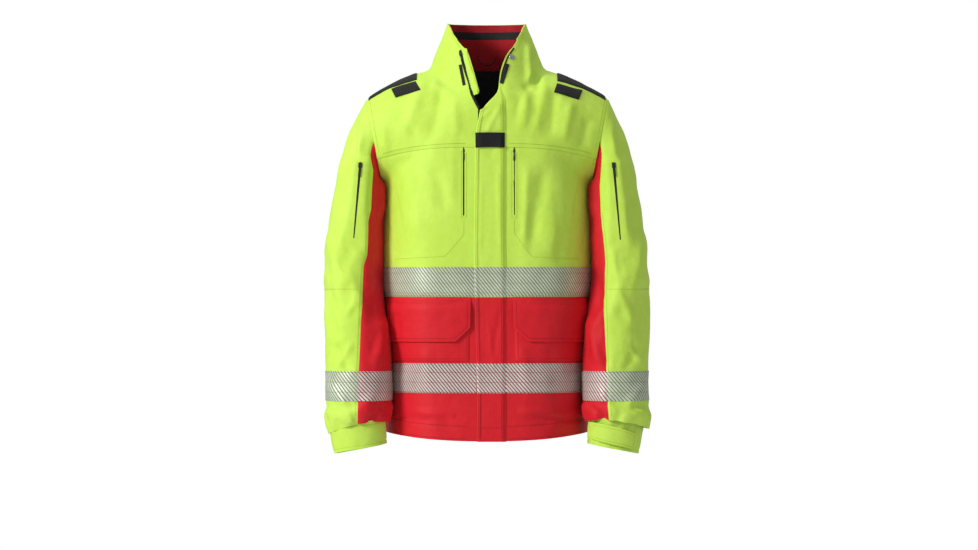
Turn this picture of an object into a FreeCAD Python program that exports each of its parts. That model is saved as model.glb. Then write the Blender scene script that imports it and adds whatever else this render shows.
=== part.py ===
# Responder parka, modelled as worn on an unseen figure.
# Millimetres.  X runs to the wearer's left, Y to the wearer's back, Z up.
# The origin is the centre of the neck at the level of the collar seam.
import FreeCAD, Part
import os
import math
import sys

V = FreeCAD.Vector
doc = FreeCAD.newDocument("responder_parka")

# ------------------------------------------------------------------ sheet
sheet = doc.addObject("Spreadsheet::Sheet", "Sheet")
CELLS = [
    ("hem_z", -646.0, "level of the hem"),
    ("waist_z", -475.0, "level where the body stops tapering"),
    ("armpit_z", -190.0, "level of the armpit"),
    ("blade_z", -120.0, "level of the shoulder blades"),
    ("clavicle_z", -60.0, "level of the collar bones"),
    ("nape_z", -25.0, "level just below the collar"),
    ("seam_z", 4.0, "level of the collar seam at the side"),
    ("cap_z", 24.0, "top of the body block inside the collar"),
    ("hem_half_width", 180.0, "half width at the hem"),
    ("hem_half_depth", 176.0, "half depth of the rounded sides at the hem"),
    ("waist_half_width", 180.0, "half width at the waist"),
    ("waist_half_depth", 166.0, "half depth at the waist"),
    ("chest_half_width", 184.5, "half width under the arms"),
    ("chest_half_depth", 150.0, "half depth under the arms"),
    ("blade_half_width", 178.0, "half width inside the armholes"),
    ("blade_half_depth", 144.0, "half depth at the shoulder blades"),
    ("clavicle_half_width", 148.0, "half width at the collar bones"),
    ("clavicle_half_depth", 132.0, "half depth at the collar bones"),
    ("nape_half_width", 116.0, "half width below the collar"),
    ("nape_half_depth", 104.0, "half depth below the collar"),
    ("seam_half_width", 100.0, "half width at the collar seam"),
    ("seam_half_depth", 88.0, "half depth at the collar seam"),
    ("cap_half_width", 92.0, "half width of the body block's top"),
    ("cap_half_depth", 78.0, "half depth of the body block's top"),
    ("front_plane", 115.0, "distance of the flat front from the middle at Z 0"),
    ("front_slope", 0.05, "how fast the flat front leans out going down"),
    ("armhole_x", 200.0, "middle of the armhole"),
    ("armhole_z", -115.0, "level of the middle of the armhole"),
    ("armhole_half_height", 75.0, "half height of the armhole"),
    ("armhole_half_depth", 76.0, "half depth of the armhole"),
    ("armhole_lean", 10.4, "lean of the armhole in degrees"),
    ("point_x", 123.0, "where the shoulder meets the neck slope"),
    ("point_half_height", 110.0, "half height of the body there"),
    ("point_half_depth", 112.0, "half depth of the body there"),
    ("ridge_z", -112.0, "level of the middle of the shoulder block"),
    ("middle_half_height", 120.0, "half height of the shoulder block in the middle"),
    ("middle_half_depth", 122.0, "half depth of the shoulder block in the middle"),
    ("shell_thick", 3.0, "outer shell with its membrane"),
    ("lining_gap", 4.6, "depth of the lining's outer face"),
    ("lining_back", 6.2, "depth of the lining's inner face"),
    ("tape_low", 0.3, "reflective tape's inner face above the shell"),
    ("tape_high", 1.1, "reflective tape's outer face above the shell"),
    ("tape_height", 52.0, "reflective tape height"),
    ("yoke_z", -127.0, "yoke seam"),
    ("contrast_z", -392.0, "seam between the upper and the lower panels"),
    ("chest_tape_z", -391.0, "lower edge of the chest tape"),
    ("hem_tape_z", -561.0, "lower edge of the hem tape"),
    ("side_x", 178.0, "front edge of the side panels"),
    ("zip_x", -8.0, "middle of the main zip"),
    ("zip_half_gap", 9.0, "half the gap between the front panels"),
    ("zip_top", -62.0, "top of the closed zip"),
    ("zip_bottom", -636.0, "bottom of the zip"),
    ("flap_left", -21.0, "free edge of the storm flap"),
    ("flap_right", 32.0, "sewn edge of the storm flap"),
    ("flap_top", -57.0, "top of the storm flap"),
    ("flap_low", 3.6, "inner face of the storm flap above the front plane"),
    ("flap_high", 6.0, "outer face of the storm flap above the front plane"),
    ("pocket_inner", 29.0, "inner edge of the right lower pocket"),
    ("pocket_inner_left", 47.0, "inner edge of the left lower pocket"),
    ("pocket_outer", 168.0, "outer edge of the lower pockets"),
    ("pocket_top", -402.0, "top of the lower pockets"),
    ("pocket_bottom", -505.0, "bottom of the lower pockets"),
    ("pocket_flap_top", -396.0, "top of the pocket flaps"),
    ("pocket_flap_bottom", -471.0, "bottom of the pocket flaps"),
    ("chest_zip_right", -41.0, "chest zip on the wearer's right"),
    ("chest_zip_left", 48.0, "chest zip on the wearer's left"),
    ("chest_zip_top", -131.0, "top of the chest zips"),
    ("chest_zip_bottom", -249.0, "bottom of the chest zips"),
    ("cuff_half_width", 46.0, "half width of the cuff"),
    ("cuff_half_depth", 52.0, "half depth of the cuff"),
    ("cuff_x", 223.0, "middle of the cuff"),
    ("cuff_y", -80.0, "middle of the cuff, front to back"),
    ("cuff_bottom", -668.0, "lower edge of the cuff"),
    ("sleeve_bottom", -621.0, "lower edge of the sleeve shell"),
    ("collar_base_width", 98.0, "half width of the collar at its base"),
    ("collar_base_depth", 84.0, "half depth of the collar at its base"),
    ("collar_top_width", 73.0, "half width of the collar at its top"),
    ("collar_top_depth", 66.0, "half depth of the collar at its top"),
    ("collar_top_z", 93.0, "top of the collar at the back"),
]
VAL = {}
for i, (alias, value, note) in enumerate(CELLS):
    sheet.set("A%d" % (i + 1), note)
    sheet.set("B%d" % (i + 1), repr(value))
    sheet.setAlias("B%d" % (i + 1), alias)
    VAL[alias] = value
doc.recompute()


def num(e):
    """The present value of a number or of an expression on the sheet."""
    if isinstance(e, (int, float)):
        return float(e)
    out = e
    for alias in sorted(VAL, key=len, reverse=True):
        out = out.replace("Sheet." + alias, repr(sheet.get(alias)))
    total = 0.0
    # every expression here is a plain sum of signed terms
    out = out.replace("- -", "+ ").replace("+ -", "- ").replace("--", "+")
    sign = 1.0
    token = ""
    for part in out.replace("+", " + ").replace("- ", " - ").split():
        if part == "+":
            sign = 1.0
        elif part == "-":
            sign = -1.0
        else:
            total += sign * float(part)
            sign = 1.0
    return total


def put(obj, prop, e):
    if isinstance(e, str):
        obj.setExpression(prop, e)
    else:
        if prop.startswith(".Placement.Base."):
            b = obj.Placement.Base
            setattr(b, prop[-1], float(e))
            obj.Placement = FreeCAD.Placement(b, obj.Placement.Rotation)
        else:
            setattr(obj, prop, float(e))


def plus(e, off):
    if isinstance(e, str):
        return "%s + %r" % (e, off) if off >= 0 else "%s - %r" % (e, -off)
    return e + off


UP = FreeCAD.Rotation(V(1, 1, 1), 120)      # long axis on Y, short axis on Z, normal on X
tools = []


def ring(name, major, minor, at, rot=None):
    o = doc.addObject("Part::Ellipse", name)
    put(o, "MajorRadius", major)
    put(o, "MinorRadius", minor)
    o.Placement = FreeCAD.Placement(V(*[num(c) for c in at]), rot or FreeCAD.Rotation())
    for axis, c in zip("xyz", at):
        if isinstance(c, str):
            o.setExpression(".Placement.Base." + axis, c)
    tools.append(o)
    return o


def loft(name, sections, ruled=True):
    o = doc.addObject("Part::Loft", name)
    o.Sections = sections
    o.Solid = True
    o.Ruled = ruled
    tools.append(o)
    return o


def box(name, x0, x1, y0, y1, z0, z1, keep=False):
    o = doc.addObject("Part::Box", name)
    for prop, a, b in (("Length", x0, x1), ("Width", y0, y1), ("Height", z0, z1)):
        if isinstance(a, str) or isinstance(b, str):
            o.setExpression(prop, "(%s) - (%s)" % (b, a))
        else:
            setattr(o, prop, float(b - a))
    o.Placement = FreeCAD.Placement(V(num(x0), num(y0), num(z0)), FreeCAD.Rotation())
    for axis, c in zip("xyz", (x0, y0, z0)):
        if isinstance(c, str):
            o.setExpression(".Placement.Base." + axis, c)
    return o


def tilted(name, frame, x0, x1, y0, y1, z0, z1):
    """A box in its own leaning frame."""
    o = doc.addObject("Part::Box", name)
    for prop, a, b in (("Length", x0, x1), ("Width", y0, y1), ("Height", z0, z1)):
        if isinstance(a, str) or isinstance(b, str):
            o.setExpression(prop, "(%s) - (%s)" % (b, a))
        else:
            setattr(o, prop, float(b - a))
    o.Placement = FreeCAD.Placement(frame.multVec(V(num(x0), num(y0), num(z0))), frame.Rotation)
    return o


def common(name, *objs):
    o = doc.addObject("Part::MultiCommon", name)
    o.Shapes = list(objs)
    return o


def fuse(name, *objs):
    o = doc.addObject("Part::MultiFuse", name)
    o.Shapes = list(objs)
    return o


def cut(name, base, *tls):
    for i, t in enumerate(tls):
        o = doc.addObject("Part::Cut", name if i == len(tls) - 1 else "%s_%d" % (name, i))
        o.Base = base
        o.Tool = t
        base = o
    return base


def mirror(name, src, across=(1, 0, 0)):
    o = doc.addObject("Part::Mirroring", name)
    o.Source = src
    o.Base = V(0, 0, 0)
    o.Normal = V(*across)
    return o


NODES = []


def node(obj, label):
    obj.Label = label
    NODES.append(obj)
    return obj


def pair(obj, stem):
    """A piece on the wearer's left and its mirror on the right."""
    node(obj, stem + "_left")
    node(mirror(stem + "_mirror", obj), stem + "_right")


# ------------------------------------------------------------------ body block
def torso(tag, off):
    """The trunk of the coat with every surface moved out by off."""
    low = "Sheet.hem_z - 10" if off < 0 else "Sheet.hem_z"
    rows = [
        (low, "hem"), ("Sheet.waist_z", "waist"), ("Sheet.armpit_z", "chest"),
        ("Sheet.blade_z", "blade"), ("Sheet.clavicle_z", "clavicle"), ("Sheet.nape_z", "nape"),
        ("Sheet.seam_z", "seam"), ("Sheet.cap_z", "cap"),
    ]
    secs = []
    for z, n in rows:
        zz = z
        if n in ("nape", "seam", "cap", "clavicle") and off != 0:
            zz = plus(z, off * (0.7 if n != "clavicle" else 0.3))
        secs.append(ring("ring_%s_%s" % (n, tag), plus("Sheet.%s_half_width" % n, off),
                         plus("Sheet.%s_half_depth" % n, off), (0, 0, zz)))
    return loft("trunk_" + tag, secs)


def slab(tag, off):
    """The space between the flat front and the flat back."""
    w = doc.addObject("Part::Wedge", "slab_" + tag)
    w.Xmin, w.Xmax, w.X2min, w.X2max = -400, 400, -400, 400
    w.Ymin, w.Ymax = -800, 200
    w.setExpression("Zmin", "-(Sheet.front_plane + Sheet.front_slope * 800 + %r)" % off)
    w.setExpression("Zmax", "Sheet.front_plane + Sheet.front_slope * 800 + %r" % off)
    w.setExpression("Z2min", "-(Sheet.front_plane - Sheet.front_slope * 200 + %r)" % off)
    w.setExpression("Z2max", "Sheet.front_plane - Sheet.front_slope * 200 + %r" % off)
    w.Placement = FreeCAD.Placement(V(0, 0, 0), FreeCAD.Rotation(V(1, 0, 0), 90))
    return w


def shoulders(tag, off, out=None):
    """The block from armhole to armhole, through sections that stand upright."""
    lean = sheet.get("armhole_lean")
    if out is None:
        out = 2.0 if off < 0 else 0.0
    c, s_ = math.cos(math.radians(lean)), math.sin(math.radians(lean))
    secs = []
    ax, az = sheet.get("armhole_x"), sheet.get("armhole_z")
    secs.append(ring("arm_a_" + tag, plus("Sheet.armhole_half_depth", off), plus("Sheet.armhole_half_height", off),
                     (-(ax + out * c), 0, az - out * s_), FreeCAD.Rotation(V(0, 1, 0), -lean).multiply(UP)))
    secs.append(ring("pt_a_" + tag, plus("Sheet.point_half_depth", off), plus("Sheet.point_half_height", off),
                     ("-Sheet.point_x", 0, "Sheet.ridge_z"), UP))
    secs.append(ring("mid_" + tag, plus("Sheet.middle_half_depth", off), plus("Sheet.middle_half_height", off),
                     (0, 0, "Sheet.ridge_z"), UP))
    secs.append(ring("pt_b_" + tag, plus("Sheet.point_half_depth", off), plus("Sheet.point_half_height", off),
                     ("Sheet.point_x", 0, "Sheet.ridge_z"), UP))
    secs.append(ring("arm_b_" + tag, plus("Sheet.armhole_half_depth", off), plus("Sheet.armhole_half_height", off),
                     (ax + out * c, 0, az - out * s_), FreeCAD.Rotation(V(0, 1, 0), lean).multiply(UP)))
    return loft("shoulders_" + tag, secs)


def block(tag, off, out=None):
    return common("block_" + tag, fuse("union_" + tag, torso(tag, off), shoulders(tag, off, out)), slab(tag, off))


def cone(tag, off):
    """The collar's flared ring as a solid."""
    return loft("cone_" + tag, [
        ring("cone0_" + tag, 110 + off, 94 + off, (0, 2, -32)),
        ring("cone1_" + tag, plus("Sheet.collar_base_width", off), plus("Sheet.collar_base_depth", off), (0, 4, 24)),
        ring("cone2_" + tag, plus("Sheet.collar_top_width", off), plus("Sheet.collar_top_depth", off),
             (0, 10, plus("Sheet.collar_top_z", 3.0 if off < 0 else 0.0))),
    ])


outer = block("o0", 0.0)


def hollow(tag, off):
    """The same space as block, as two solids that are cut away one after the other."""
    f = slab(tag, off)
    return [common("trunk_in_" + tag, torso(tag, off), f), common("arms_in_" + tag, shoulders(tag, off), f)]


inner = hollow("i3", -3.0)
neck = cone("hole", -4.4)

# the open V of the neck: narrow at its foot, the collar's front edges at its top
vee = doc.addObject("Part::Wedge", "vee")
vee.Xmin, vee.Xmax, vee.X2min, vee.X2max = -13, -10, -40, 48
vee.Ymin, vee.Ymax, vee.Zmin, vee.Zmax, vee.Z2min, vee.Z2max = -60, 62, 0, 260, 0, 260
vee.Placement = FreeCAD.Placement(V(0, 0, 0), FreeCAD.Rotation(V(1, 0, 0), 90))
vee_top = box("vee_top", -40, 48, -260, 0, 61, 140)
gap = box("zip_gap", "Sheet.zip_x - Sheet.zip_half_gap", "Sheet.zip_x + Sheet.zip_half_gap", -260, 0, -700, -36)
lin_gap = box("lining_gap", "Sheet.zip_x - 15", "Sheet.zip_x + 15", -260, 0, -700, -50)

# leaning frame of the flat front: local Y points inwards, local Z up along the front
FRONT = FreeCAD.Placement(V(0, -sheet.get("front_plane"), 0),
                          FreeCAD.Rotation(V(1, 0, 0), -math.degrees(math.atan(sheet.get("front_slope")))))

slot_r = tilted("slot_r", FRONT, "Sheet.chest_zip_right - 4.2", "Sheet.chest_zip_right + 4.2", -30, 3.4,
                "Sheet.chest_zip_bottom - 0.5", "Sheet.chest_zip_top + 0.5")
slot_l = tilted("slot_l", FRONT, "Sheet.chest_zip_left - 4.2", "Sheet.chest_zip_left + 4.2", -30, 3.4,
                "Sheet.chest_zip_bottom - 0.5", "Sheet.chest_zip_top + 0.5")

SPLIT = 3.0        # the side seams lie just behind the middle
band = {"yoke": ("Sheet.yoke_z", 200), "upper": ("Sheet.contrast_z", "Sheet.yoke_z"), "lower": (-800, "Sheet.contrast_z")}
side_l = box("b_side_l", "Sheet.side_x", 400, -400, 400, -800, "Sheet.armpit_z - 6")
side_r = box("b_side_r", -400, "-Sheet.side_x", -400, 400, -800, "Sheet.armpit_z - 6")


def half_panel(name, y0, y1, z0, z1, *away):
    """The shell of the wearer's right half between two levels."""
    region = box("region_" + name, -400, 0, y0, y1, z0, z1)
    return cut(name, common(name + "_block", outer, region), *(list(inner) + list(away)))


yoke_h = half_panel("yoke_half", -400, SPLIT, "Sheet.yoke_z", 200)
upper_h = half_panel("upper_half", -400, SPLIT, "Sheet.contrast_z", "Sheet.yoke_z", side_r)
lower_h = half_panel("lower_half", -400, SPLIT, -800, "Sheet.contrast_z", side_r)
node(cut("yf_r", yoke_h, neck, vee, gap), "front_yoke_right")
node(cut("yf_l", mirror("yoke_half_m", yoke_h), neck, vee, gap), "front_yoke_left")
node(cut("fu_r", upper_h, gap, slot_r), "front_upper_right")
node(cut("fu_l", mirror("upper_half_m", upper_h), gap, slot_l), "front_upper_left")
node(cut("flo_r", lower_h, gap), "front_lower_right")
node(cut("flo_l", mirror("lower_half_m", lower_h), gap), "front_lower_left")
side_h = cut("side_half", common("side_block", outer, side_r), *inner)
node(side_h, "side_panel_right")
node(mirror("side_half_m", side_h), "side_panel_left")


def whole(name, half):
    """A piece that runs across the middle, from its right half."""
    return fuse(name, half, mirror(name + "_m", half))


def rear(name, z0, z1, *away):
    """A back panel: the trunk is the same front and back, so it is turned over from the front."""
    half = mirror(name + "_turned", half_panel(name + "_half", -400, -SPLIT, z0, z1, *away), (0, 1, 0))
    return whole(name, half)


node(cut("yb", rear("yoke_back", "Sheet.yoke_z", 200), neck), "back_yoke")
node(rear("bu", "Sheet.contrast_z", "Sheet.yoke_z", side_r), "back_upper")
node(rear("bl", -800, "Sheet.contrast_z", side_r), "back_lower")

lin_o = block("i46", -4.6, -1.0)
lin_i = hollow("i62", -6.2)
lin_half = cut("lin_half", common("lin_block", lin_o, box("b_lin", -400, 0, -400, 400, "Sheet.hem_z + 12", 200)), *lin_i)
node(cut("body_lining", whole("lining_whole", lin_half), cone("lin", -4.6), vee, lin_gap), "body_lining")

# ------------------------------------------------------------------ collar
roof = tilted("collar_roof", FreeCAD.Placement(V(0, -76, 48), FreeCAD.Rotation(V(1, 0, 0), 30)), -200, 200, -200, 220, 0, 200)
above = hollow("p02", 0.2)


def collar_ring(name, high, low):
    region = box("region_" + name, -200, 0, -200, 200, -60, 200)
    half = cut(name + "_half", common(name + "_block", cone(name + "h", high), region), roof, cone(name + "l", low), *above)
    return cut(name, whole(name + "_whole", half), vee, vee_top)


node(collar_ring("cs0", 0.0, -2.0), "collar_outer")
node(collar_ring("cf0", -2.2, -4.2), "collar_lining")

# ------------------------------------------------------------------ layers laid on the trunk


def layer(name, low, high, region, *away):
    """The part of the layer between two offsets of the trunk that lies in a region."""
    hi = common(name + "_hi", torso(name + "h", high), slab(name + "h", high), region)
    lo = common(name + "_lo", torso(name + "l", low), slab(name + "l", low))
    return cut(name, hi, lo, *away)


flap_clear = box("flap_clear", "Sheet.flap_left", "Sheet.flap_right", -260, 0, -700, -50)
SHEET_TOP = "Sheet.chest_tape_z + Sheet.tape_height"
node(cut("ct", whole("ct_whole", layer("ct_half", 0.3, 1.1, box("b_ct", -400, 0, -400, 400, "Sheet.chest_tape_z", SHEET_TOP))),
         flap_clear), "chest_tape")
node(cut("ht", whole("ht_whole", layer("ht_half", 0.3, 1.1, box("b_ht", -400, 0, -400, 400, "Sheet.hem_tape_z",
                                                                "Sheet.hem_tape_z + Sheet.tape_height"))),
         flap_clear), "hem_tape")


def both(obj, stem):
    """A piece on the wearer's right and its mirror on the left."""
    node(obj, stem + "_right")
    node(mirror(stem + "_mirror", obj), stem + "_left")


for s, side_sign, edge in (("right", 1, "Sheet.pocket_inner"), ("left", -1, "Sheet.pocket_inner_left")):
    pk = layer("lp_" + s, 0.3, 2.6, box("b_lp_" + s, "-Sheet.pocket_outer", "-%s - 4" % edge, -400, 0,
                                        "Sheet.pocket_bottom", "Sheet.pocket_top"))
    corner = tilted("flap_corner_" + s, FreeCAD.Placement(V(-sheet.get(edge[6:]), 0, -457), FreeCAD.Rotation(V(0, 1, 0), -45)),
                    -60, 60, -300, 0, -60, 0)
    fl = layer("pf_" + s, 3.2, 5.2, box("b_pf_" + s, "-Sheet.pocket_outer", "-%s" % edge, -400, 0,
                                        "Sheet.pocket_flap_bottom", "Sheet.pocket_flap_top"), corner)
    if side_sign < 0:
        pk, fl = mirror("lp_m", pk), mirror("pf_m", fl)
    node(pk, "lower_pocket_" + s)
    node(fl, "pocket_flap_" + s)
bag_r = layer("bag_r", -4.4, -3.2, box("b_bag_r", -114, "Sheet.chest_zip_right + 8", -400, 0, -330, -140))
bag_l = layer("bag_l", -4.4, -3.2, box("b_bag_l", -114, "-Sheet.chest_zip_left + 8", -400, 0, -330, -140))
node(fuse("bags", bag_r, mirror("bag_l_m", bag_l)), "chest_pocket_bags")

# ------------------------------------------------------------------ main zip, behind the storm flap
node(fuse("zip_tapes",
          tilted("zt_r", FRONT, "Sheet.zip_x - 8.8", "Sheet.zip_x - 3.3", 1.2, 2.2, "Sheet.zip_bottom", "Sheet.zip_top"),
          tilted("zt_l", FRONT, "Sheet.zip_x + 3.3", "Sheet.zip_x + 8.8", 1.2, 2.2, "Sheet.zip_bottom", "Sheet.zip_top")),
     "main_zip_tapes")
node(tilted("zip_teeth", FRONT, "Sheet.zip_x - 3", "Sheet.zip_x + 3", 0.4, 3.0, "Sheet.zip_bottom", "Sheet.zip_top"), "main_zip_teeth")
node(tilted("zip_box", FRONT, "Sheet.zip_x - 6", "Sheet.zip_x + 6", 0.0, 3.4, "Sheet.zip_bottom - 9", "Sheet.zip_bottom - 0.2"), "main_zip_retainer")


def slider(name, frame, x, top, lift, length=16.0, wide=5.0, pull=24.0):
    """A slider that rides on its row of teeth, with its pull tab hanging on it."""
    body = tilted(name + "_b", frame, x - wide, x + wide, -1.6 - lift, 0.2 - lift, top - length, top)
    f1 = tilted(name + "_f1", frame, x - wide, x - wide + 1.5, 0.1 - lift, 0.9 - lift, top - length, top)
    f2 = tilted(name + "_f2", frame, x + wide - 1.5, x + wide, 0.1 - lift, 0.9 - lift, top - length, top)
    tab = tilted(name + "_t", frame, x - 2.6, x + 2.6, -2.9 - lift, -1.6 - lift, top - length - pull, top - 3)
    return fuse(name, body, f1, f2, tab)


node(slider("main_slider_o", FRONT, sheet.get("zip_x"), -68.0, 0.0), "main_slider")

# storm flap over the zip
node(tilted("flap_upper", FRONT, "Sheet.flap_left", "Sheet.flap_right", "-Sheet.flap_high", "-Sheet.flap_low",
            "Sheet.contrast_z", "Sheet.flap_top"), "storm_flap_upper")
node(tilted("flap_lower", FRONT, "Sheet.flap_left", "Sheet.flap_right", "-Sheet.flap_high", "-Sheet.flap_low",
            "Sheet.hem_z + 3", "Sheet.contrast_z"), "storm_flap_lower")
node(tilted("flap_tape_c", FRONT, "Sheet.flap_left", "Sheet.flap_right", "-Sheet.flap_high - 0.8", "-Sheet.flap_high",
            "Sheet.chest_tape_z", "Sheet.chest_tape_z + Sheet.tape_height"), "storm_flap_chest_tape")
node(tilted("flap_tape_h", FRONT, "Sheet.flap_left", "Sheet.flap_right", "-Sheet.flap_high - 0.8", "-Sheet.flap_high",
            "Sheet.hem_tape_z", "Sheet.hem_tape_z + Sheet.tape_height"), "storm_flap_hem_tape")
node(cut("loop", tilted("loop_a", FRONT, -20, 31, -9.6, -6.0, -127, -102),
         tilted("loop_b", FRONT, -14, 25, -8.1, -5.0, -140, -90)), "radio_loop")
node(fuse("flap_hooks", tilted("fh_a", FRONT, -20, -15, -3.6, -2.6, -620, -80),
          tilted("fh_b", FRONT, 8, 22, -3.6, -2.6, -620, -80)), "storm_flap_hook_strips")
node(tilted("front_hooks", FRONT, 8, 22, -1.6, -0.2, -620, -80), "front_loop_strip")

# ------------------------------------------------------------------ chest zips
node(fuse("chest_chains",
          tilted("cc_r", FRONT, "Sheet.chest_zip_right - 4", "Sheet.chest_zip_right + 4", 0.6, 2.8, "Sheet.chest_zip_bottom", "Sheet.chest_zip_top"),
          tilted("cc_l", FRONT, "Sheet.chest_zip_left - 4", "Sheet.chest_zip_left + 4", 0.6, 2.8, "Sheet.chest_zip_bottom", "Sheet.chest_zip_top")),
     "chest_zip_chains")


def small_slider(name, frame, x, top, lift):
    body = tilted(name + "_b", frame, x - 3.4, x + 3.4, -1.5 - lift, 0.3 - lift, top - 9, top)
    tab = tilted(name + "_t", frame, x - 2.2, x + 2.2, -2.6 - lift, -1.5 - lift, top - 9 - 16, top - 2)
    return fuse(name, body, tab)


node(small_slider("chest_slider_r", FRONT, sheet.get("chest_zip_right"), -134.0, 0.0), "chest_slider_right")
node(small_slider("chest_slider_l", FRONT, sheet.get("chest_zip_left"), -134.0, 0.0), "chest_slider_left")

# ------------------------------------------------------------------ shoulder pieces


def on_shoulder(name, low, high, region):
    hi = common(name + "_hi", shoulders(name + "h", high), region)
    return cut(name, hi, shoulders(name + "l", low))


both(on_shoulder("sp", 0.35, 1.3, box("b_sp", -209, -128, -62, 62, -62, 40)), "shoulder_patch")
tab_box = tilted("b_mt", FreeCAD.Placement(V(-146, 0, -20), FreeCAD.Rotation(V(0, 1, 0), -20)), -24, 24, -96, -34, -60, 60)
mic = on_shoulder("mt", 1.7, 3.1, tab_box)
mic_m = mirror("mic_tab_m", mic)
node(fuse("mic_tabs", mic, mic_m), "mic_tabs")

# ------------------------------------------------------------------ small things at the neck
clear = hollow("p05", 0.5)


def on_collar(name, region):
    return cut(name, common(name + "_hi", cone(name + "h", 1.5), region), cone(name + "l", 0.3), *(clear + [roof]))


guard_space = tilted("b_guard", FreeCAD.Placement(V(-41, 0, 44), FreeCAD.Rotation(V(0, 1, 0), -12)), -4, 4, -200, 0, -34, 0)
node(on_collar("zg", guard_space), "zip_guard")
zip_space = tilted("b_cz", FreeCAD.Placement(V(-47.6, 0, 44), FreeCAD.Rotation(V(0, 1, 0), -12)), -2, 2, -200, 0, -36, 0)
node(on_collar("cz", zip_space), "collar_zip_chain")
hook_r = tilted("b_hr", FreeCAD.Placement(V(-52.5, 0, 34), FreeCAD.Rotation(V(0, 1, 0), -12)), -3, 3, -200, 0, -26, 0)
hook_l = tilted("b_hl", FreeCAD.Placement(V(70, 0, 34), FreeCAD.Rotation(V(0, 1, 0), 12)), -3, 3, -200, 0, -26, 0)
node(fuse("collar_hooks", on_collar("hr", hook_r), on_collar("hl", hook_l)), "collar_hook_strips")
snap = doc.addObject("Part::Cylinder", "snap_space")
snap.Radius, snap.Height = 5.0, 200.0
snap.Placement = FreeCAD.Placement(V(56, 0, 36), FreeCAD.Rotation(V(1, 0, 0), 90))
node(on_collar("cs", snap), "collar_snap")

loop_t = doc.addObject("Part::Torus", "hanger")
loop_t.Radius1, loop_t.Radius2, loop_t.Angle3 = 16.0, 1.6, 180.0
loop_t.Placement = FreeCAD.Placement(V(0, 64, 40), FreeCAD.Rotation(V(1, 0, 0), -78))
node(loop_t, "hanger_loop")

# ------------------------------------------------------------------ sleeves (wearer's left, then mirrored)
# each row: (inner x, inner z, outer x, outer z, half depth, middle y)
ARM = [
    (186.5, -188.8, 213.5, -41.2, 76.0, 0.0),
    (190.5, -194.0, 250.0, -126.0, 80.0, -4.0),
    (192.5, -207.0, 266.0, -201.0, 80.0, -10.0),
    (193.0, -300.0, 281.0, -300.0, 73.0, -30.0),
    (187.0, -400.0, 288.0, -400.0, 67.0, -54.0),
    (177.0, -475.0, 287.0, -475.0, 64.0, -70.0),
    (177.0, -621.0, 288.0, -621.0, 62.0, -82.0),
]


def arm(tag, off):
    secs = []
    for i, (xi, zi, xo, zo, dep, yc) in enumerate(ARM):
        lean = math.degrees(math.atan2(xo - xi, zo - zi))
        half = math.hypot(xo - xi, zo - zi) / 2
        n = (math.cos(math.radians(lean)), -math.sin(math.radians(lean)))
        step = 0.0
        if i == 0:
            step = -1.5 if off < 0 else 0.7
        if i == len(ARM) - 1 and off < 0:
            step = 6.0
        cx, cz = (xi + xo) / 2 + n[0] * step, (zi + zo) / 2 + n[1] * step
        secs.append(ring("arm%d_%s" % (i, tag), dep + off, half + off, (cx, yc, cz),
                         FreeCAD.Rotation(V(0, 1, 0), lean).multiply(UP)))
    return loft("armtube_" + tag, secs)


a0, a3 = arm("a0", 0.0), arm("a3", -3.0)
tube = cut("arm_shell", a0, a3)
# red inner part: everything nearer the trunk than a leaning plane
red_space = tilted("b_red", FreeCAD.Placement(V(200, 0, -118), FreeCAD.Rotation(V(0, 1, 0), -3.2)), -200, 0, -300, 300, -700, 0)
# frame of the sleeve pocket zip, on the front of the sleeve
z0, z1 = V(224, 0, -152), V(236, 0, -292)
SL = FreeCAD.Placement(V(224, -88, -152), FreeCAD.Rotation(V(0, 1, 0), 0))
dvec = V(12, -14, -140)
dlen = dvec.Length
zax = V(-dvec.x, -dvec.y, -dvec.z)
zax.normalize()
xax = V(1, 0, 0) - zax * zax.x
xax.normalize()
yax = zax.cross(xax)
SL = FreeCAD.Placement(V(224, -90, -152), FreeCAD.Rotation(xax, yax, zax, "ZXY"))
sleeve_slot = tilted("sleeve_slot", SL, -4.4, 4.4, -20, 22, -dlen - 0.5, 0.5)
outer_sleeve = cut("sleeve_outer", tube, red_space, sleeve_slot)
pair(outer_sleeve, "sleeve_outer")
pair(common("sleeve_inner", tube, red_space), "sleeve_inner")
at_low, at_high = arm("at0", 0.3), arm("at1", 1.0)
pair(common("sleeve_tape", cut("arm_tape_skin", at_high, at_low), box("b_at", 100, 400, -300, 300, -574, -522)), "sleeve_tape")
pair(tilted("sleeve_chain", SL, -4.1, 4.1, 0.6, 2.6, -dlen, 0), "sleeve_zip_chain")
pair(small_slider("sleeve_slider", SL, 0.0, -2.0, 0.0), "sleeve_slider")


def cuff(tag, off):
    return loft("cuff_" + tag, [
        ring("cuff0_" + tag, plus("Sheet.cuff_half_depth", off), plus("Sheet.cuff_half_width", off),
             ("Sheet.cuff_x + 9", "Sheet.cuff_y", -596 + (4 if off < 0 else 0)), FreeCAD.Rotation(V(0, 0, 1), 90)),
        ring("cuff1_" + tag, plus("Sheet.cuff_half_depth", off), plus("Sheet.cuff_half_width", off),
             ("Sheet.cuff_x", "Sheet.cuff_y", plus("Sheet.cuff_bottom", -4.0 if off < 0 else 0.0)), FreeCAD.Rotation(V(0, 0, 1), 90)),
    ])


pair(cut("cuff_band", cuff("q0", 0.0), cuff("q3", -2.5)), "cuff")
pair(box("cuff_tab", "Sheet.cuff_x - 26", "Sheet.cuff_x + 24", "Sheet.cuff_y - Sheet.cuff_half_depth - 3.2",
         "Sheet.cuff_y - Sheet.cuff_half_depth - 0.8", -658, -631), "cuff_tab")

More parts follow.
